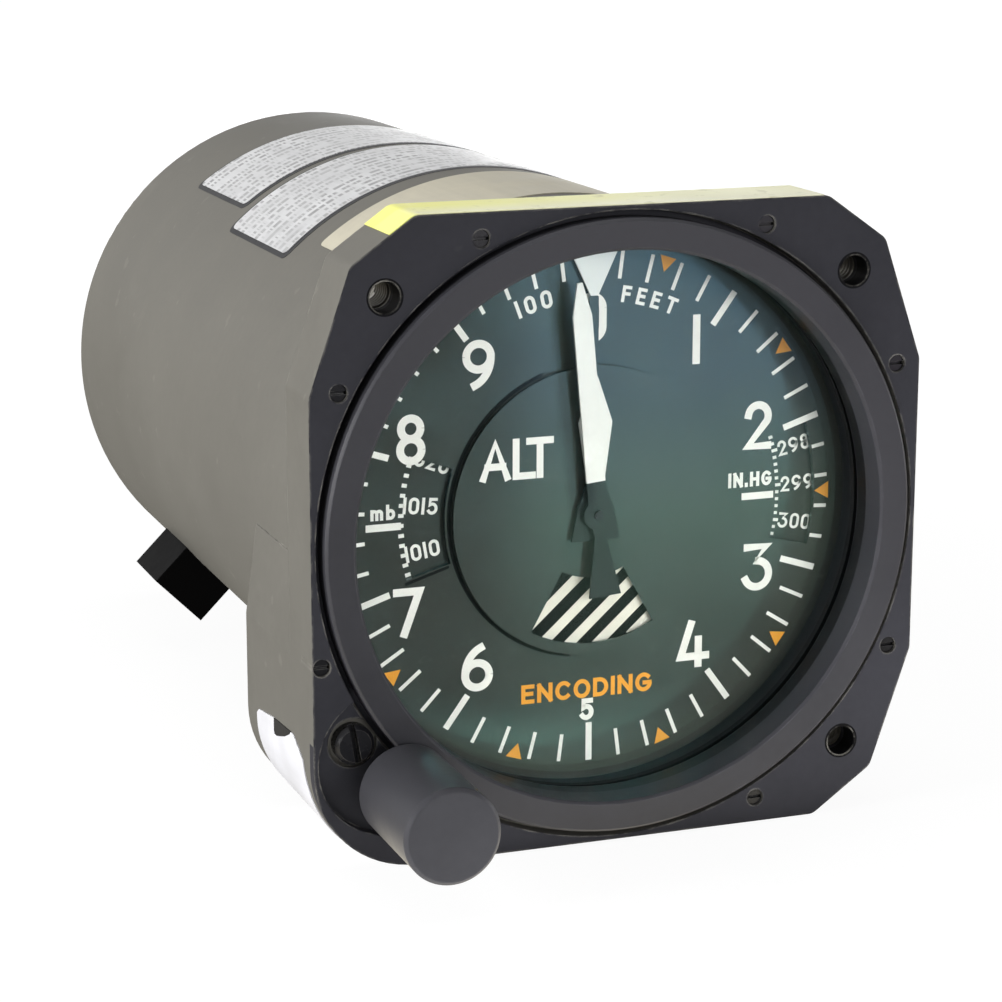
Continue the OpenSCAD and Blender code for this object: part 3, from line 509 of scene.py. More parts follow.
class Skin(Tree):
    """The tree of a new material with its Principled shader; gloss is the strength of its surface reflection."""

    def __init__(self, name, rough=0.5, metallic=0, gloss=0.25):
        self.material = bpy.data.materials.new(name)
        self.material.use_nodes = True
        super().__init__(self.material.node_tree)
        self.shader = self.tree.nodes["Principled BSDF"]
        self.set({"Roughness": rough, "Metallic": metallic, "Specular IOR Level": gloss if metallic < 0.5 else 0.5})

    def set(self, values):
        """Feeds or sets the shader's sockets."""
        for key, value in values.items():
            self.feed(value, self.shader.inputs[key])

    def finish(self, base, rough, *bump):
        """Feeds the colour, the roughness and a bump's strength, distance, height and normal, as far as given."""
        self.set({"Base Color": base, "Roughness": rough})
        if bump:
            raised = self.add("Bump", dict(zip(("Strength", "Distance", "Height", "Normal"), bump)))
            self.set({"Normal": raised})
        return self.material

    def coat(self, base, scale, rough, bump, wear=None, edge=0.3):
        """Finishes a paint: its grain in roughness and bump, and edges in a second colour, as worn paint and painted
        highlight.
        """
        grain = self.use("paint_grain", Scale=scale)
        raised = [bump, 0.05 * MM, grain["Height"]]
        if wear is not None:
            worn = self.use("rubbed_and_lit_edges", Radius=edge * MM)
            # Edge colour: worn paint and painted highlight
            base = self.blend(worn["Mask"], base, wear)
            raised.append(worn["Normal"])
        return self.finish(base, grain["Shade"].span(0, 1, rough - 0.07, rough + 0.09), *raised)


def scaled(value, by):
    """A colour made darker or lighter by a factor, held at white."""
    return tuple(min(v * by, 1) for v in value)


def distance(a, b, ca=0, cb=0):
    """Distance in a plane from the point (ca, cb)."""
    return ((a - ca).maths("POWER", 2) + (b - cb).maths("POWER", 2)).maths("SQRT")


def middle(box):
    """Middle of a box across the pointers' axis, in millimetres."""
    low, high = box
    return (low.x + high.x) / 2 / MM, (low.z + high.z) / 2 / MM


def grain_group(tree, scale):
    """Grain of paint and moulded plastic: a slow cloud and a fine grit of noise, in shade and in height."""
    where = tree.where()
    fine = tree.noise(where, scale, 4, 0.6)
    slow = tree.noise(where, scale * 0.06, 3, 0.55, 0.4)
    dots = tree.noise(where, scale * 0.55, 2, 0.4)
    return {"Shade": (slow * 0.65 + fine * 0.35).span(0.3, 0.7), "Height": fine, "Specks": dots.span(0.69, 0.76)}


def edge_group(tree, radius):
    """Worn edges with painted highlights: where the normal of a rounded edge leaves the face's own normal, broken up by
    noise.
    """
    soft = tree.add("Bevel", {"Radius": radius}, samples=4)
    true = tree.add("NewGeometry", output="Normal")
    part = tree.add("VectorMath", {0: soft, 1: true}, "Value", operation="DOT_PRODUCT")
    rough = tree.noise(tree.where(), 260, 5, 0.65).span(0.42, 0.62)
    return {"Mask": part.span(0.985, 0.86) * rough, "Normal": soft}


def streak_group(tree, stretch):
    """Drawn or turned metal: noise that is stretched along one axis, in shade and in height."""
    lines = tree.noise(tree.stretched(stretch), 1, 4, 0.6)
    cloud = tree.noise(tree.where(), 120, 4, 0.6, 0.6)
    return {"Shade": (lines * 0.5 + cloud * 0.5).span(0.3, 0.7), "Height": lines}


GROUPS = {
    "paint_grain": (grain_group, "Scale", "Float", 900),
    "rubbed_and_lit_edges": (edge_group, "Radius", "Float", 0.3 * MM),
    "drawn_metal": (streak_group, "Stretch", "Vector", (60, 2600, 60)),
}


def shared_group(name):
    """Builds a node group: its maker takes the one input and gives the outputs by name."""
    maker, label, kind, default = GROUPS[name]
    made = bpy.data.node_groups.new(name, "ShaderNodeTree")
    made.interface.new_socket(label, in_out="INPUT", socket_type="NodeSocket" + kind).default_value = default
    tree = Tree(made)
    gives = maker(tree, Wire(tree, made.nodes.new("NodeGroupInput").outputs[0]))
    for key in gives:
        kind = "Vector" if key == "Normal" else "Float"
        made.interface.new_socket(key, in_out="OUTPUT", socket_type="NodeSocket" + kind)
    ends = made.nodes.new("NodeGroupOutput").inputs
    for key, wire in gives.items():
        tree.feed(wire, ends[key])
    return made


def paint(name, base, scale=900, shade=0.1, rough=0.5, bump=0.25, gloss=0.25, **worn):
    """Paint, plastic or print: two shades of one colour by its grain, with edges in a second colour where asked, as
    worn paint and painted highlight.
    """
    skin = Skin(name, rough, gloss=gloss)
    grain = skin.use("paint_grain", Scale=scale)
    return skin.coat(skin.shades(grain["Shade"], base, 1 - shade, 1 + shade), scale, rough, bump, **worn)


def metal(name, base, stretch, rough):
    """Bare metal with drawn streaks, a little darker where it has tarnished."""
    skin = Skin(name, rough, 1)
    drawn = skin.use("drawn_metal", Stretch=stretch)
    sheen = drawn["Shade"].span(0, 1, rough + 0.1, rough - 0.06)
    return skin.finish(skin.shades(drawn["Shade"], base, 0.78, 1.08), sheen, 0.15, 0.02 * MM, drawn["Height"])


def case_material():
    """Case: grey paint, with the charcoal of the face wherever Y is small, in the groove, the pocket and the holes."""
    c = settings().colours
    skin = Skin("case_paint", gloss=0.05)
    x, y, z = skin.coordinates()
    grain = skin.use("paint_grain", Scale=700)
    holes = distance(abs(x), abs(z), HOLE_AT, HOLE_AT)
    cut = ((distance(x, z) < 40.4) | (holes < 3.2)) * (y < FLANGE_BACK)
    pocket = (distance(x, z, *middle(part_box("knob"))) < 13) * (y < 1.75)
    dark = (y < 0.12) | cut | pocket
    rubbed = skin.noise(skin.where(), 55, 6, 0.6, 1.2).span(0.58, 0.8, 0, 0.3)
    grey = skin.blend(rubbed, skin.shades(grain["Shade"], c.case_grey, 0.86, 1.1), scaled(c.case_grey, 1.3))
    base = skin.blend(dark, grey, skin.shades(grain["Shade"], c.face_black, 0.84, 1.14))
    # Painted shade: black round the mouth of each panel hole
    base = skin.blend((holes < 2.35) * (y < 3), base, PAINTED_SHADE_BLACK)
    base = skin.blend(grain["Specks"] * (dark * -0.22 + 0.25), base, scaled(c.case_grey, 1.6))
    # Paler edges: worn paint and painted highlight
    return skin.coat(base, 700, 0.52, 0.22, scaled(c.case_grey, 2.3), 0.4)


def ring_material():
    """Ring: charcoal paint, paler on its edges as worn paint and painted highlight, and black painted shade on the
    inner wall next to the glass.
    """
    c = settings().colours
    skin = Skin("ring_paint")
    x, y, z = skin.coordinates()
    grain = skin.use("paint_grain", Scale=800)
    base = skin.shades(grain["Shade"], c.face_black, 0.78, 1.02)
    # Painted shade: black on the inner wall behind Y = 3.1, next to the glass
    base = skin.blend((distance(x, z) < 36.3) * (y > 3.1), base, PAINTED_SHADE_BLACK)
    return skin.coat(base, 800, 0.42, 0.18, scaled(c.face_black, 2.6), 0.22)


def pointer_material(name, turned_by, bound=4.4):
    """Pointer: white beyond a height on its own axis, and the dial's charcoal with its green gloss below it."""
    c = settings().colours
    skin = Skin(name, gloss=0.4)
    skin.set({"Specular Tint": (0.5, 0.95, 0.98)})
    x, y, z = skin.coordinates()
    t = np.radians(turned_by)
    along = x * float(np.sin(t)) + z * float(np.cos(t))
    grain = skin.use("paint_grain", Scale=1500)
    white = skin.shades(grain["Shade"], c.white_ink, 0.93, 1.04)
    black = skin.shades(grain["Shade"], c.pointer_black, 0.8, 1.3)
    return skin.coat(skin.blend(along > bound, black, white), 1500, 0.2, 0.03)


def dial_material(name, bound=None):
    """Dial paint: charcoal with fine grit under a green gloss, and a little dust; beyond a height it is white."""
    c = settings().colours
    skin = Skin(name, gloss=0.9)
    skin.set({"Specular Tint": (0.35, 0.9, 1)})
    grain = skin.use("paint_grain", Scale=1300)
    base = skin.shades(grain["Shade"], c.dial_black, 0.86, 1.14)
    base = skin.blend(grain["Specks"] * 0.2, base, scaled(c.dial_black, 2.2))
    if bound is not None:
        base = skin.blend(skin.coordinates()[2] > bound, base, c.white_ink)
    return skin.coat(base, 1300, 0.14, 0.02)


def glass_material():
    """Coated glass: clear and slightly smudged, with a green reflection, and clear to the lamps' shadow rays."""
    skin = Skin("window_glass", 0.02)
    smudge = skin.noise(skin.where(), 70, 5, 0.6, 1.5)
    skin.set({"Base Color": (0.97, 1, 0.985), "Roughness": smudge.span(0.45, 0.75, 0.015, 0.06)})
    skin.set({"Transmission Weight": 1, "IOR": 1.3, "Specular Tint": (0.5, 0.95, 0.9)})
    (shadow,) = skin.rays("Shadow")
    clear = skin.add("BsdfTransparent", {0: (0.94, 0.97, 0.95)})
    both = skin.add("MixShader", {0: shadow, 1: Wire(skin, skin.shader.outputs[0]), 2: clear})
    skin.feed(both, skin.tree.nodes["Material Output"].inputs["Surface"])
    return skin.material


def label_material(name, base, metallic, rough, blotch, printed=False):
    """Foil or paper label: clouds of two shades, faint lines along the can, soft creases and rows of worn print."""
    skin = Skin(name, rough, metallic)
    where = skin.where()
    cloud = skin.noise(where, 85, 6, 0.62, 0.8)
    lines = skin.noise(skin.stretched((900, 25, 900)), 1)
    shade = skin.shades((cloud * 0.75 + lines * 0.25).span(0.36, 0.66), base, 1 - blotch, 1.06)
    if printed:
        x, y, z = skin.coordinates()
        round_can = x.maths("ARCTAN2", z) * CAN_R
        line = y * 0.42
        row = line.maths("FLOOR")
        inside = abs(line.maths("FRACT") - 0.5).span(0.22, 0.3, 1, 0)
        fine, coarse = (skin.add("CombineXYZ", {0: round_can * a, 1: row * b}) for a, b in ((1.9, 7.3), (0.3, 3.7)))
        marks = skin.noise(fine, 1, 2).span(0.44, 0.52) * skin.noise(coarse, 1, 1).span(0.36, 0.42)
        shade = skin.blend(marks * inside * cloud.span(0.35, 0.6, 0.3, 0.8), shade, scaled(base, 0.3))
    crease = skin.noise(where, 160, 3, 0.5, 0.5)
    return skin.finish(shade, cloud.span(0.3, 0.7, rough - 0.06, rough + 0.12), 0.25, 0.08 * MM, crease)


def tape_material():
    """Yellow tape: bright where it is fresh, paler in patches, to the right and towards the front edge, with faint
    marks and creases."""
    skin = Skin("yellow_tape", 0.45)
    x, y, z = skin.coordinates()
    faded = skin.noise(skin.where(), 60, 4, 0.6, 0.6)
    fresh = (x + faded.span(0.3, 0.7, -9, 9)).span(-24, 10, 1, 0.25) * y.span(1, 6.5, 0.35, 1)
    fresh = fresh | x.span(-26, -28, 0, 0.9)
    tone = skin.blend(fresh, (0.95, 0.94, 0.74), settings().colours.yellow_tape)
    marks = skin.noise(skin.stretched((420, 300, 300)), 1, 3, 0.6).span(0.6, 0.72, 0, 0.35)
    crease = skin.noise(skin.stretched((200, 900, 900)), 1)
    tone = skin.blend(marks, tone, (0.35, 0.33, 0.12))
    return skin.finish(tone, faded.span(0.3, 0.7, 0.38, 0.55), 0.3, 0.05 * MM, crease)


def board_material():
    """Circuit board: green lacquer over tracks that show as slightly raised, lighter lines."""
    skin = Skin("board_green", 0.35)
    where = skin.where()
    track = skin.add("TexBrick", {"Vector": where, "Scale": 330, "Mortar Size": 0.06}, "Fac")
    tone = skin.blend(track, (0.02, 0.12, 0.05), (0.05, 0.24, 0.09))
    return skin.finish(tone, skin.noise(where, 300).span(0.3, 0.7, 0.28, 0.42), 0.4, 0.05 * MM, track)


def code_material():
    """Code disc: bare metal with dark bars, as many to a turn in each ring as the ring's number doubles."""
    skin = Skin("code_metal", 0.3, 1)
    x, y, z = skin.coordinates()
    cx, cz = middle(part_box("encoder_disc"))
    ring = (distance(x, z, cx, cz) * 0.8).maths("FLOOR")
    turns = skin.maths("POWER", 2, ring - 2)
    bars = ((x - cx).maths("ARCTAN2", z - cz) * turns).maths("SINE") > 0
    drawn = skin.use("drawn_metal")
    shade = skin.blend(drawn["Shade"], (0.55, 0.57, 0.6), (0.78, 0.8, 0.82))
    return skin.finish(skin.blend(bars, shade, (0.03, 0.03, 0.035)), drawn["Shade"].span(0, 1, 0.38, 0.24))


def dress(material, *nodes):
    """Gives CAD nodes a material."""
    for name in nodes:
        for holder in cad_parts[name].material_slots:
            holder.material = material


class ALTIMETER_OT_case(bpy.types.Operator):
    """Paints the case, the ring, the knob and the screws, and cuts the threads"""

    bl_idname = "altimeter.case"
    bl_label = "Case and face"

    def execute(self, context):
        c = settings().colours
        dress(case_material(), "case")
        dress(ring_material(), "bezel_ring")
        dress(paint("dial_ring_black", scaled(c.face_black, 0.35), 800, 0.15, 0.5, 0.2), "dial_ring")
        # Paler edge colour of the knob: worn plastic and painted highlight
        rubbed = scaled(c.knob_black, 1.6)
        dress(paint("knob_plastic", c.knob_black, 650, 0.12, 0.42, 0.22, gloss=0.12, wear=rubbed, edge=0.4), "knob")
        # Grey edge colour of the screws: worn paint and painted glints
        screw = paint("black_screw", srgb("1c1c1f"), 1200, 0.2, 0.25, 0.15, wear=srgb("6c6a66"), edge=0.12)
        dress(screw, "face_screws", "lock_screw")
        dress(paint("seal_rubber", srgb("151517"), 500, 0.15, 0.75, 0.3), "glass_gasket")
        insert = metal("insert_steel", srgb("8d8a83"), (300, 300, 300), 0.38)
        dress(insert, "panel_inserts")
        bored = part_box("panel_inserts")
        start, stop = bored[0].y + 0.5 * MM, bored[1].y - 0.5 * MM
        radius, depth, pitch = mm(1.95, 0.22, 0.79)
        spots = mm((-HOLE_AT, HOLE_AT), (HOLE_AT, HOLE_AT), (HOLE_AT, -HOLE_AT))
        threads = [helix(at, radius, depth, pitch, start, stop) for at in spots]
        make_piece("insert_threads", threads, insert, "housing", "brass_part", 40)
        # Edge colour of the black plastic parts: worn plastic and painted highlight
        rubbed = srgb("1f1f20")
        plastic = paint("black_plastic", srgb("080809"), 500, 0.2, 0.6, 0.3, gloss=0.05, wear=rubbed, edge=0.25)
        dress(plastic, "encoder_reader", "board_chips", "encoder_connector", "connector_cap")
        return {"FINISHED"}


class ALTIMETER_OT_movement(bpy.types.Operator):
    """Finishes the brass, steel, capsules and circuit board inside the case"""

    bl_idname = "altimeter.movement"
    bl_label = "Movement and encoder"

    def execute(self, context):
        c = settings().colours
        dress(
            metal("brass_part", c.brass, (900, 60, 900), 0.28),
            "front_plate", "rear_plate", "sector_plate", "pillars", "spacers", "sector", "wheel_1000", "wheel_10000",
            "idler_a_wheel", "idler_b_wheel", "intermediate_wheel", "encoder_wheel", "knob_bushing", "baro_pinion",
            "static_port",
        )
        dress(
            metal("steel_part", c.steel, (60, 1800, 60), 0.24),
            "knob_shaft", "sleeve_1000", "sleeve_10000", "idler_a_arbor", "idler_b_arbor", "intermediate_arbor",
            "rocking_shaft", "link_arm", "link_rod", "pillar_screws", "plate_screws", "frame_screws",
            "encoder_arbor", "board_standoffs",
        )
        dress(metal("blued_steel", srgb("33363a"), (400, 1800, 400), 0.35), "staff_100")
        dress(metal("capsule_metal", srgb("b9a583"), (400, 400, 400), 0.3), "aneroid_capsules")
        dress(metal("frame_metal", srgb("a6a8aa"), (2200, 40, 2200), 0.36), "capsule_frame")
        dress(code_material(), "encoder_disc")
        dress(board_material(), "encoder_board")
        return {"FINISHED"}


class ALTIMETER_OT_dial_print(bpy.types.Operator):
    """Paints the dial and prints its ticks, numerals, words, triangles and stripes"""

    bl_idname = "altimeter.dial_print"
    bl_label = "Dial print"

    def execute(self, context):
        c, d = settings().colours, settings().dial
        white = paint("white_ink", c.white_ink, 1800, 0.05, 0.55, 0.12)
        orange = paint("orange_ink", c.orange_ink, 1800, 0.1, 0.55, 0.12)
        dress(dial_material("dial_paint"), "dial", "baro_scale")
        y = DIAL_Y
        ticks = []
        for i in range(50):
            clock, long = i * 7.2, i % 5 == 0
            start, width = (d.major_in, d.major_width) if long else (d.minor_in, d.minor_width)
            for first, last, inner in SHORT_TICKS:
                if not long and first < clock < last:
                    start = inner * MM
            ticks.append(tick(clock, start, d.tick_out, width, y))
        make_piece("dial_ticks", ticks, white)
        numerals = []
        for text, at in NUMERALS.items():
            numerals += word(text, mm(*at), d.numeral, d.stroke, y)
        numerals += word("5", mm(-0.3, -27.05), 3 * MM, 0.68 * MM, y)
        make_piece("dial_numerals", numerals, white)
        words = arc_word("100", 28.7 * MM, -16, 2.35 * MM, 0.46 * MM, y, 0.32)
        words += arc_word("FEET", 28.5 * MM, 16.4, 2.2 * MM, 0.44 * MM, y, 0.38)
        words += word("IN.HG", mm(22.75, 2.3), 2 * MM, 0.44 * MM, y, 0.15)
        words += word("mb", mm(-28.3, 1.95), 2 * MM, 0.42 * MM, y, 0.2)
        words += [tick(-90, 25.9 * MM, 30.6 * MM, 0.95 * MM, y), tick(90, 21.6 * MM, 26.2 * MM, 0.95 * MM, y)]
        make_piece("dial_words", words, white)
        tip, halves = 32.3 * MM, np.array([0.02 * MM, d.triangle / 2])[:, None]
        marks = []
        for clock in range(18, 360, 36):
            middle_line, across = turn([(0, tip), (0, tip + 0.87 * d.triangle)], clock), turn([(1, 0)], clock)
            marks.append(slab(middle_line - halves * across, middle_line + halves * across, y))
        make_piece("dial_triangles", marks, orange)
        name = word("ENCODING", mm(-0.3, -24.15), 2.6 * MM, 0.56 * MM, y, 0.15, 1.3)
        make_piece("dial_encoding", name, orange)
        self.window(c, d, y)
        return {"FINISHED"}

    def window(self, c, d, y):
        """Stripes under the disc's window on their dark ground, which is partly the hatch's black print and partly
        painted shade between the stripes, and painted shadow lines beside the disc and along the millibar window's
        lower edge. A stripe is the part of a leaning line that lies between two radii and within an angle of the
        downward direction."""
        # Black of the stripes' ground, partly print and partly painted shade, and of the painted shadow lines
        gap = paint("ground_and_shadow_black", srgb("0d0e0f"), 1500, 0.2, 0.6, 0.1, gloss=0.1)
        inner, outer = (arc(0, 0, r * MM, r * MM, -123, -57, 40) for r in (7.6, 18.6))
        make_piece("stripe_ground", [slab(inner, outer, y, INK / 2)], gap)
        # Painted shadow: dark lines along the millibar window's lower edge and round the disc's edge
        sill_shadow = ribbon(mm((-19.45, -5.9), (-25.4, -7.75)), 0.4 * MM, y, 0.8 * INK)
        edge = ribbon(arc(0, 0, 19.5 * MM, 19.5 * MM, 110, 262, 80), 0.5 * MM, y)
        make_piece("disc_shadow_line", [edge, sill_shadow], gap)
        lean = np.radians(42)
        along, across = np.array([np.cos(lean), np.sin(lean)]), np.array([-np.sin(lean), np.cos(lean)])
        stripes = []
        for off in (-5.45, -8.5, -11.3, -14.2, -16.8):
            run = off * across + np.linspace(-22, 22, 881)[:, None] * along
            r, clock = np.hypot(run[:, 0], run[:, 1]), np.degrees(np.arctan2(run[:, 0], -run[:, 1]))
            inside = run[(r > 8.3) & (r < 18.4) & (np.abs(clock) < 32)]
            stripes.append(ribbon(inside[[0, -1]] * MM, d.stripe, y))
        make_piece("dial_stripes", stripes, paint("cream_ink", c.cream_ink, 1800, 0.06, 0.55, 0.12))


class ALTIMETER_OT_scale_print(bpy.types.Operator):
    """Prints both pressure scales on the disc behind the dial"""

    bl_idname = "altimeter.scale_print"
    bl_label = "Pressure scales"

    def execute(self, context):
        y, parts = SCALE_Y, []
        turn_per_inch = 100
        for i in range(146):
            clock = 90 + (28.1 + 0.02 * i - INCHES) * turn_per_inch
            parts.append(tick(clock, 26.9 * MM, (27.8 if i % 5 == 0 else 27.5) * MM, 0.42 * MM, y))
        for tenth in range(281, 311):
            clock = (tenth / 10 - INCHES) * turn_per_inch
            parts += self.number(tenth, 2.1 * MM, 0.36 * MM, 30.2 * MM, clock, y)
        for mb in range(952, 1051):
            clock = (mb - MILLIBARS) * turn_per_inch / MB_PER_INCH
            parts.append(tick(clock - 90, 25.2 * MM, 25.95 * MM, 0.5 * MM, y))
            if mb % 5 == 0:
                parts += self.number(mb, 2.2 * MM, 0.4 * MM, -23 * MM, clock, y)
        make_piece("scale_print", parts, bpy.data.materials["white_ink"], "scale_disc")
        return {"FINISHED"}

    def number(self, value, height, stroke, x, clock, y):
        """Strokes of a level number at x from the axis, turned clockwise with the disc."""
        return [ribbon(turn(path + (x, 0), clock), stroke, y) for path, _ in letters(str(value), height, stroke, 0.16)]


class ALTIMETER_OT_pointers(bpy.types.Operator):
    """Paints the three pointers and prints the word on the disc"""

    bl_idname = "altimeter.pointers"
    bl_label = "Pointers"

    def execute(self, context):
        dress(pointer_material("pointer_paint_long", -5.3), "pointer_100")
        dress(pointer_material("pointer_paint_short", -0.53), "pointer_1000")
        dress(dial_material("disc_paint", 28.3), "pointer_10000")
        name = []
        for letter, x in (("A", -13.5), ("L", -9.55), ("T", -7.4)):
            name += word(letter, mm(x, 7.75), 5.4 * MM, 0.92 * MM, DISC_Y)
        make_piece("disc_word", name, bpy.data.materials["white_ink"], "ten_thousands")
        return {"FINISHED"}


class ALTIMETER_OT_glass(bpy.types.Operator):
    """Gives the window its coated glass"""

    bl_idname = "altimeter.glass"
    bl_label = "Glass"

    def execute(self, context):
        dress(glass_material(), "glass")
        return {"FINISHED"}


class ALTIMETER_OT_labels(bpy.types.Operator):
    """Sticks the plates, the labels and the tape on the case"""

    bl_idname = "altimeter.labels"
    bl_label = "Labels and tape"

    def execute(self, context):
        c, p = settings().colours, settings().labels
        silver = label_material("silver_label", c.silver_label, 0.15, 0.42, 0.22, True)
        paper = label_material("cream_label", c.cream_label, 0, 0.6, 0.12)
        border = paint("label_border", srgb("17171a"), 1500, 0.2, 0.5, 0.1)
        r, t, right, more = CAN_R * MM, p.thickness, p.right_end, p.border
        plates, under = [], []
        for left, front, rear, skew in (
            (p.front_left, p.front_from, p.front_to, 0),
            (p.rear_left, p.rear_from, p.rear_to, -1 * MM),
        ):
            plates.append(curved_plate(left, right, front, rear, r, t, 1.2 * MM, skew))
            ends = left - 0.6 * more / r, right + more / r, front - more, rear + 0.6 * more
            under.append(curved_plate(*ends, r, t / 3, 1.5 * MM, skew))
        stick("silver_plates", plates, silver)
        stick("plate_borders", under, border)
        cream = curved_plate(p.cream_left, right, p.cream_from, p.cream_to, r, t, 1 * MM, 1.5 * MM)
        stick("cream_label", [cream], paper)
        lean, corner, bend_r, tail = np.radians(35.3), 26.9, 2, 3.3
        bend = arc(-corner, FLANGE_TOP - bend_r, bend_r, bend_r, 125.3, 90, 8)
        path = np.vstack([bend[0] - tail * np.array((np.cos(lean), np.sin(lean))), bend, (corner, FLANGE_TOP)])
        stick("flange_tape", [wrapped(path * MM, t, 0.05 * MM, 9.95 * MM)], tape_material(), smooth=40)
        self.corner_label(t, border)
        return {"FINISHED"}

    def corner_label(self, thick, dark):
        """White label over the rounded corner of the gear box: the outline goes down the flat side and round the
        corner, and its front and rear ends follow the torn upper edge; a dark piece on it near that edge is painted
        shadow under the label's lifted corner."""
        centre, radius, top = -27.7, 13.5, -25.2
        bend = arc(centre, centre, radius, radius, 180, 255, 40)
        flat = np.column_stack([np.full(4, centre - radius), (top, -25.65, -26.6, -27.3)])
        path = np.vstack([flat, bend])[::-1]
        drop = np.concatenate([top - flat[:, 1], top - centre + radius * np.radians(np.linspace(0, 75, 40))])[::-1]
        front = np.interp(drop, [0, 2.1, 6, 8], [8.8, 4.6, 3.1, 2.9])
        rear = np.interp(drop, [0, 0.45, 1.4, 2.1], [9.2, 17.7, 25, 26])
        white = label_material("corner_label", srgb("dfdfe3"), 0, 0.5, 0.07)
        stick("corner_label", [wrapped(path * MM, thick, front * MM, rear * MM)], white)
        # Painted shadow: a dark piece where the label's corner lifts off the box
        near = drop < 2.9
        low = np.interp(drop[near], [0.1, 0.45, 1.6, 2.5], [9.9, 10.4, 13, 16.5])
        high = np.interp(drop[near], [0.1, 0.45, 2.2, 2.8], [10.2, 17.7, 17.7, 17.2])
        high = np.maximum(high, low + 0.1)
        stick("label_lift_shadow", [wrapped(path[near] * MM, thick + INK, low * MM, high * MM)], dark)


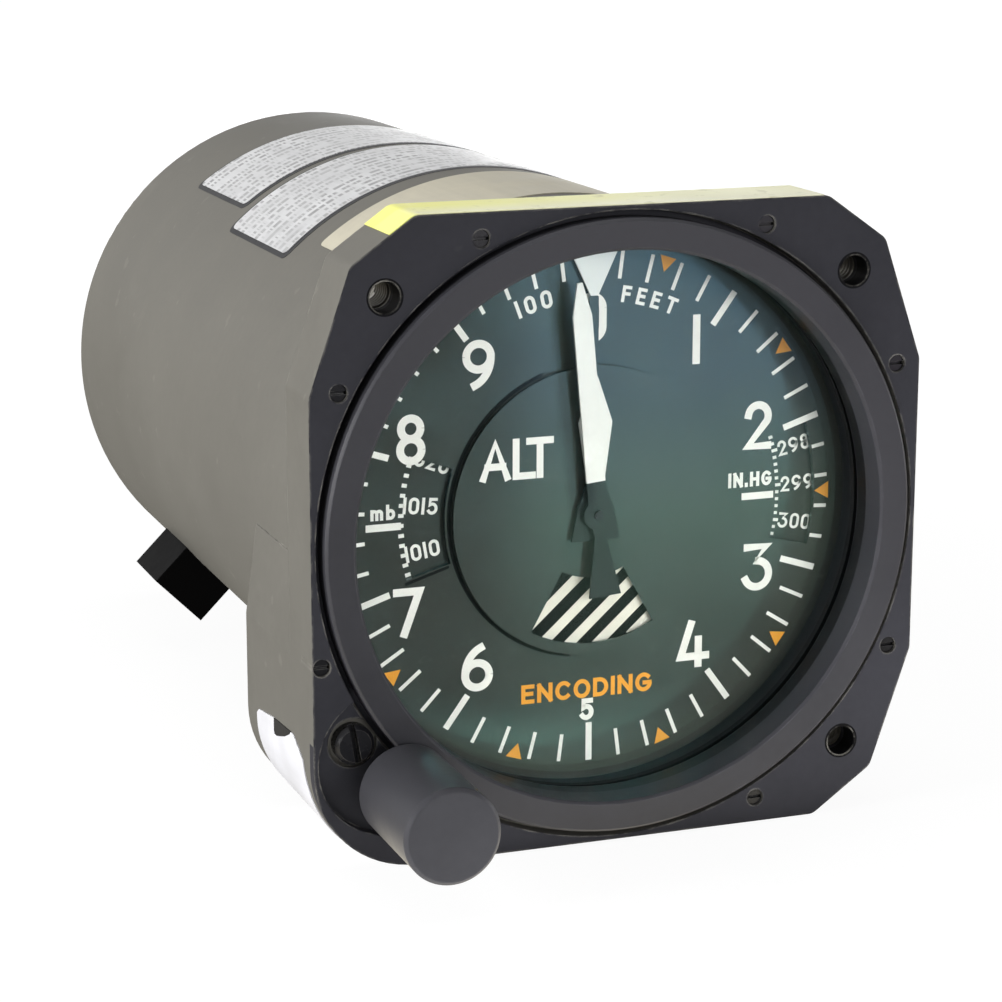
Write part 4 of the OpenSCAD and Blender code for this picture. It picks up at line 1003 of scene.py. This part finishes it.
class ALTIMETER_OT_studio(bpy.types.Operator):
    """Sets the camera, the lamps, the room and the floor"""

    bl_idname = "altimeter.studio"
    bl_label = "Studio"

    def execute(self, context):
        s = settings().studio
        scene = context.scene
        scene.view_settings.view_transform = "Standard"
        forward, upward = Vector(s.forward).normalized(), Vector(s.upward).normalized()
        right = forward.cross(upward).normalized()
        eye = bpy.data.cameras.new("camera")
        eye.lens, eye.sensor_width, eye.clip_start, eye.clip_end = s.lens, 36, 0.01, 20
        camera = bpy.data.objects.new("camera", eye)
        turned_to = Matrix((right, right.cross(forward), -forward)).transposed().to_4x4()
        camera.matrix_world = Matrix.Translation(s.camera) @ turned_to
        scene.collection.objects.link(camera)
        scene.camera = camera
        aim = Vector((0, 20 * MM, 0))
        for name, watts, size, at in (
            ("key", s.key, 0.16, (0.16, -0.64, 0.1)),
            ("left", s.left, 0.3, (-0.8, -0.05, 0.14)),
            ("top", s.top, 0.6, (0, 0.1, 0.85)),
            ("right", s.side, 0.3, (0.8, 0.12, 0)),
            ("back", s.side, 0.3, (0.3, 0.9, -0.02)),
        ):
            lamp = bpy.data.lights.new(name, "AREA")
            lamp.energy, lamp.size = watts, size
            holder = bpy.data.objects.new(name, lamp)
            facing = (aim - Vector(at)).to_track_quat("-Z", "Y").to_matrix().to_4x4()
            holder.matrix_world = Matrix.Translation(at) @ facing
            scene.collection.objects.link(holder)
        self.room(scene, s)
        self.floor(scene)
        return {"FINISHED"}

    def room(self, scene, s):
        """White room to the camera, to gloss and through glass, and an even weak light to everything else."""
        world = bpy.data.worlds.new("room")
        world.use_nodes = True
        scene.world = world
        tree = Tree(world.node_tree)
        camera, glossy, through = tree.rays("Camera", "Glossy", "Transmission")
        back = world.node_tree.nodes["Background"]
        tree.feed((1, 1, 1), back.inputs[0])
        tree.feed((camera | glossy | through).span(0, 1, s.sky, 1), back.inputs[1])

    def floor(self, scene):
        """Pale floor under the flange: white to the camera, it takes the object's shadow. To gloss it shows the fields
        of light that the dial mirrors, with a dark band and a paler one, and it throws light up on the face."""
        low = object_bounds()[0][2] - 0.02 * MM
        line = np.linspace(-12, 12, 3)
        gx, gy = np.meshgrid(line, line, indexing="ij")
        points = np.stack([gx, gy, 0 * gx + low], -1).reshape(-1, 3)
        mesh = bpy.data.meshes.new("floor")
        mesh.from_pydata(points.tolist(), [], grid_quads(3, 3)[:, ::-1].tolist())
        skin = Skin("floor_white", 0.8, gloss=0)
        skin.set({"Base Color": (0.12, 0.12, 0.12)})
        camera, glossy, through, diffuse = skin.rays("Camera", "Glossy", "Transmission", "Diffuse")
        x, y, z = skin.coordinates()
        far = distance(x, y, 0, 60).span(90, 420, 0.93, 1)
        across = y * 0.3667 + (x - 4.4)
        clear = across.span(-20, -4, 0, 1.1) * y.span(-150, -60, 1, 0.35)
        band = abs(across - 0.4).span(2, 3.4, 1, 0) - abs(across + 6.4).span(3.4, 4.6, 0.2, 0)
        clear = clear - clear * band * y.span(-175, -140, 1, 0)
        near = y.span(-45, -10, 0, 2) * y.span(-5, 25, 1, 0.2)
        wide = x.span(-320, -180, 1, 0)
        bounce = distance(x, y, 20, -42).span(25, 110, 4.5, 0) * y.span(-20, 0, 1, 0.1)
        mirrored = glossy | through
        tone = skin.blend(y.span(-270, -150), (0.87, 0.74, 1), (1, 0.92, 0.74))
        skin.set({
            "Emission Color": skin.blend(mirrored, (1, 1, 1), tone),
            "Emission Strength": camera * far | mirrored * (clear | near | wide) | diffuse * bounce,
        })
        mesh.materials.append(skin.material)
        floor = bpy.data.objects.new("floor", mesh)
        scene.collection.objects.link(floor)
        floor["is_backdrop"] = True


class ALTIMETER_PT_panel(bpy.types.Panel):
    """Lists the altimeter's pieces and settings"""

    bl_idname = "ALTIMETER_PT_panel"
    bl_label = "Altimeter"
    bl_space_type = "VIEW_3D"
    bl_region_type = "UI"
    bl_category = "Altimeter"

    def draw(self, context):
        for step in STEPS:
            self.layout.operator(step.bl_idname)
        look = context.scene.altimeter
        for part in (look.colours, look.dial, look.labels, look.studio):
            box = self.layout.box()
            for key in part.__annotations__:
                box.prop(part, key)


STEPS = (
    ALTIMETER_OT_case, ALTIMETER_OT_movement, ALTIMETER_OT_dial_print, ALTIMETER_OT_scale_print, ALTIMETER_OT_pointers,
    ALTIMETER_OT_glass, ALTIMETER_OT_labels, ALTIMETER_OT_studio,
)
CLASSES = (
    AltimeterColours, AltimeterDial, AltimeterLabels, AltimeterStudio, AltimeterSettings, *STEPS, ALTIMETER_PT_panel
)


def register():
    """Registers the classes and hangs the settings on the scene."""
    for kind in CLASSES:
        bpy.utils.register_class(kind)
    bpy.types.Scene.altimeter = part(AltimeterSettings, "Altimeter", "Altimeter finish")


def unregister():
    """Takes the settings and the classes away again."""
    del bpy.types.Scene.altimeter
    for kind in reversed(CLASSES):
        bpy.utils.unregister_class(kind)


def main():
    """Registers the add-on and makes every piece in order."""
    register()
    bpy.ops.altimeter.case()
    bpy.ops.altimeter.movement()
    bpy.ops.altimeter.dial_print()
    bpy.ops.altimeter.scale_print()
    bpy.ops.altimeter.pointers()
    bpy.ops.altimeter.glass()
    bpy.ops.altimeter.labels()
    bpy.ops.altimeter.studio()


if __name__ == "__main__":
    main()
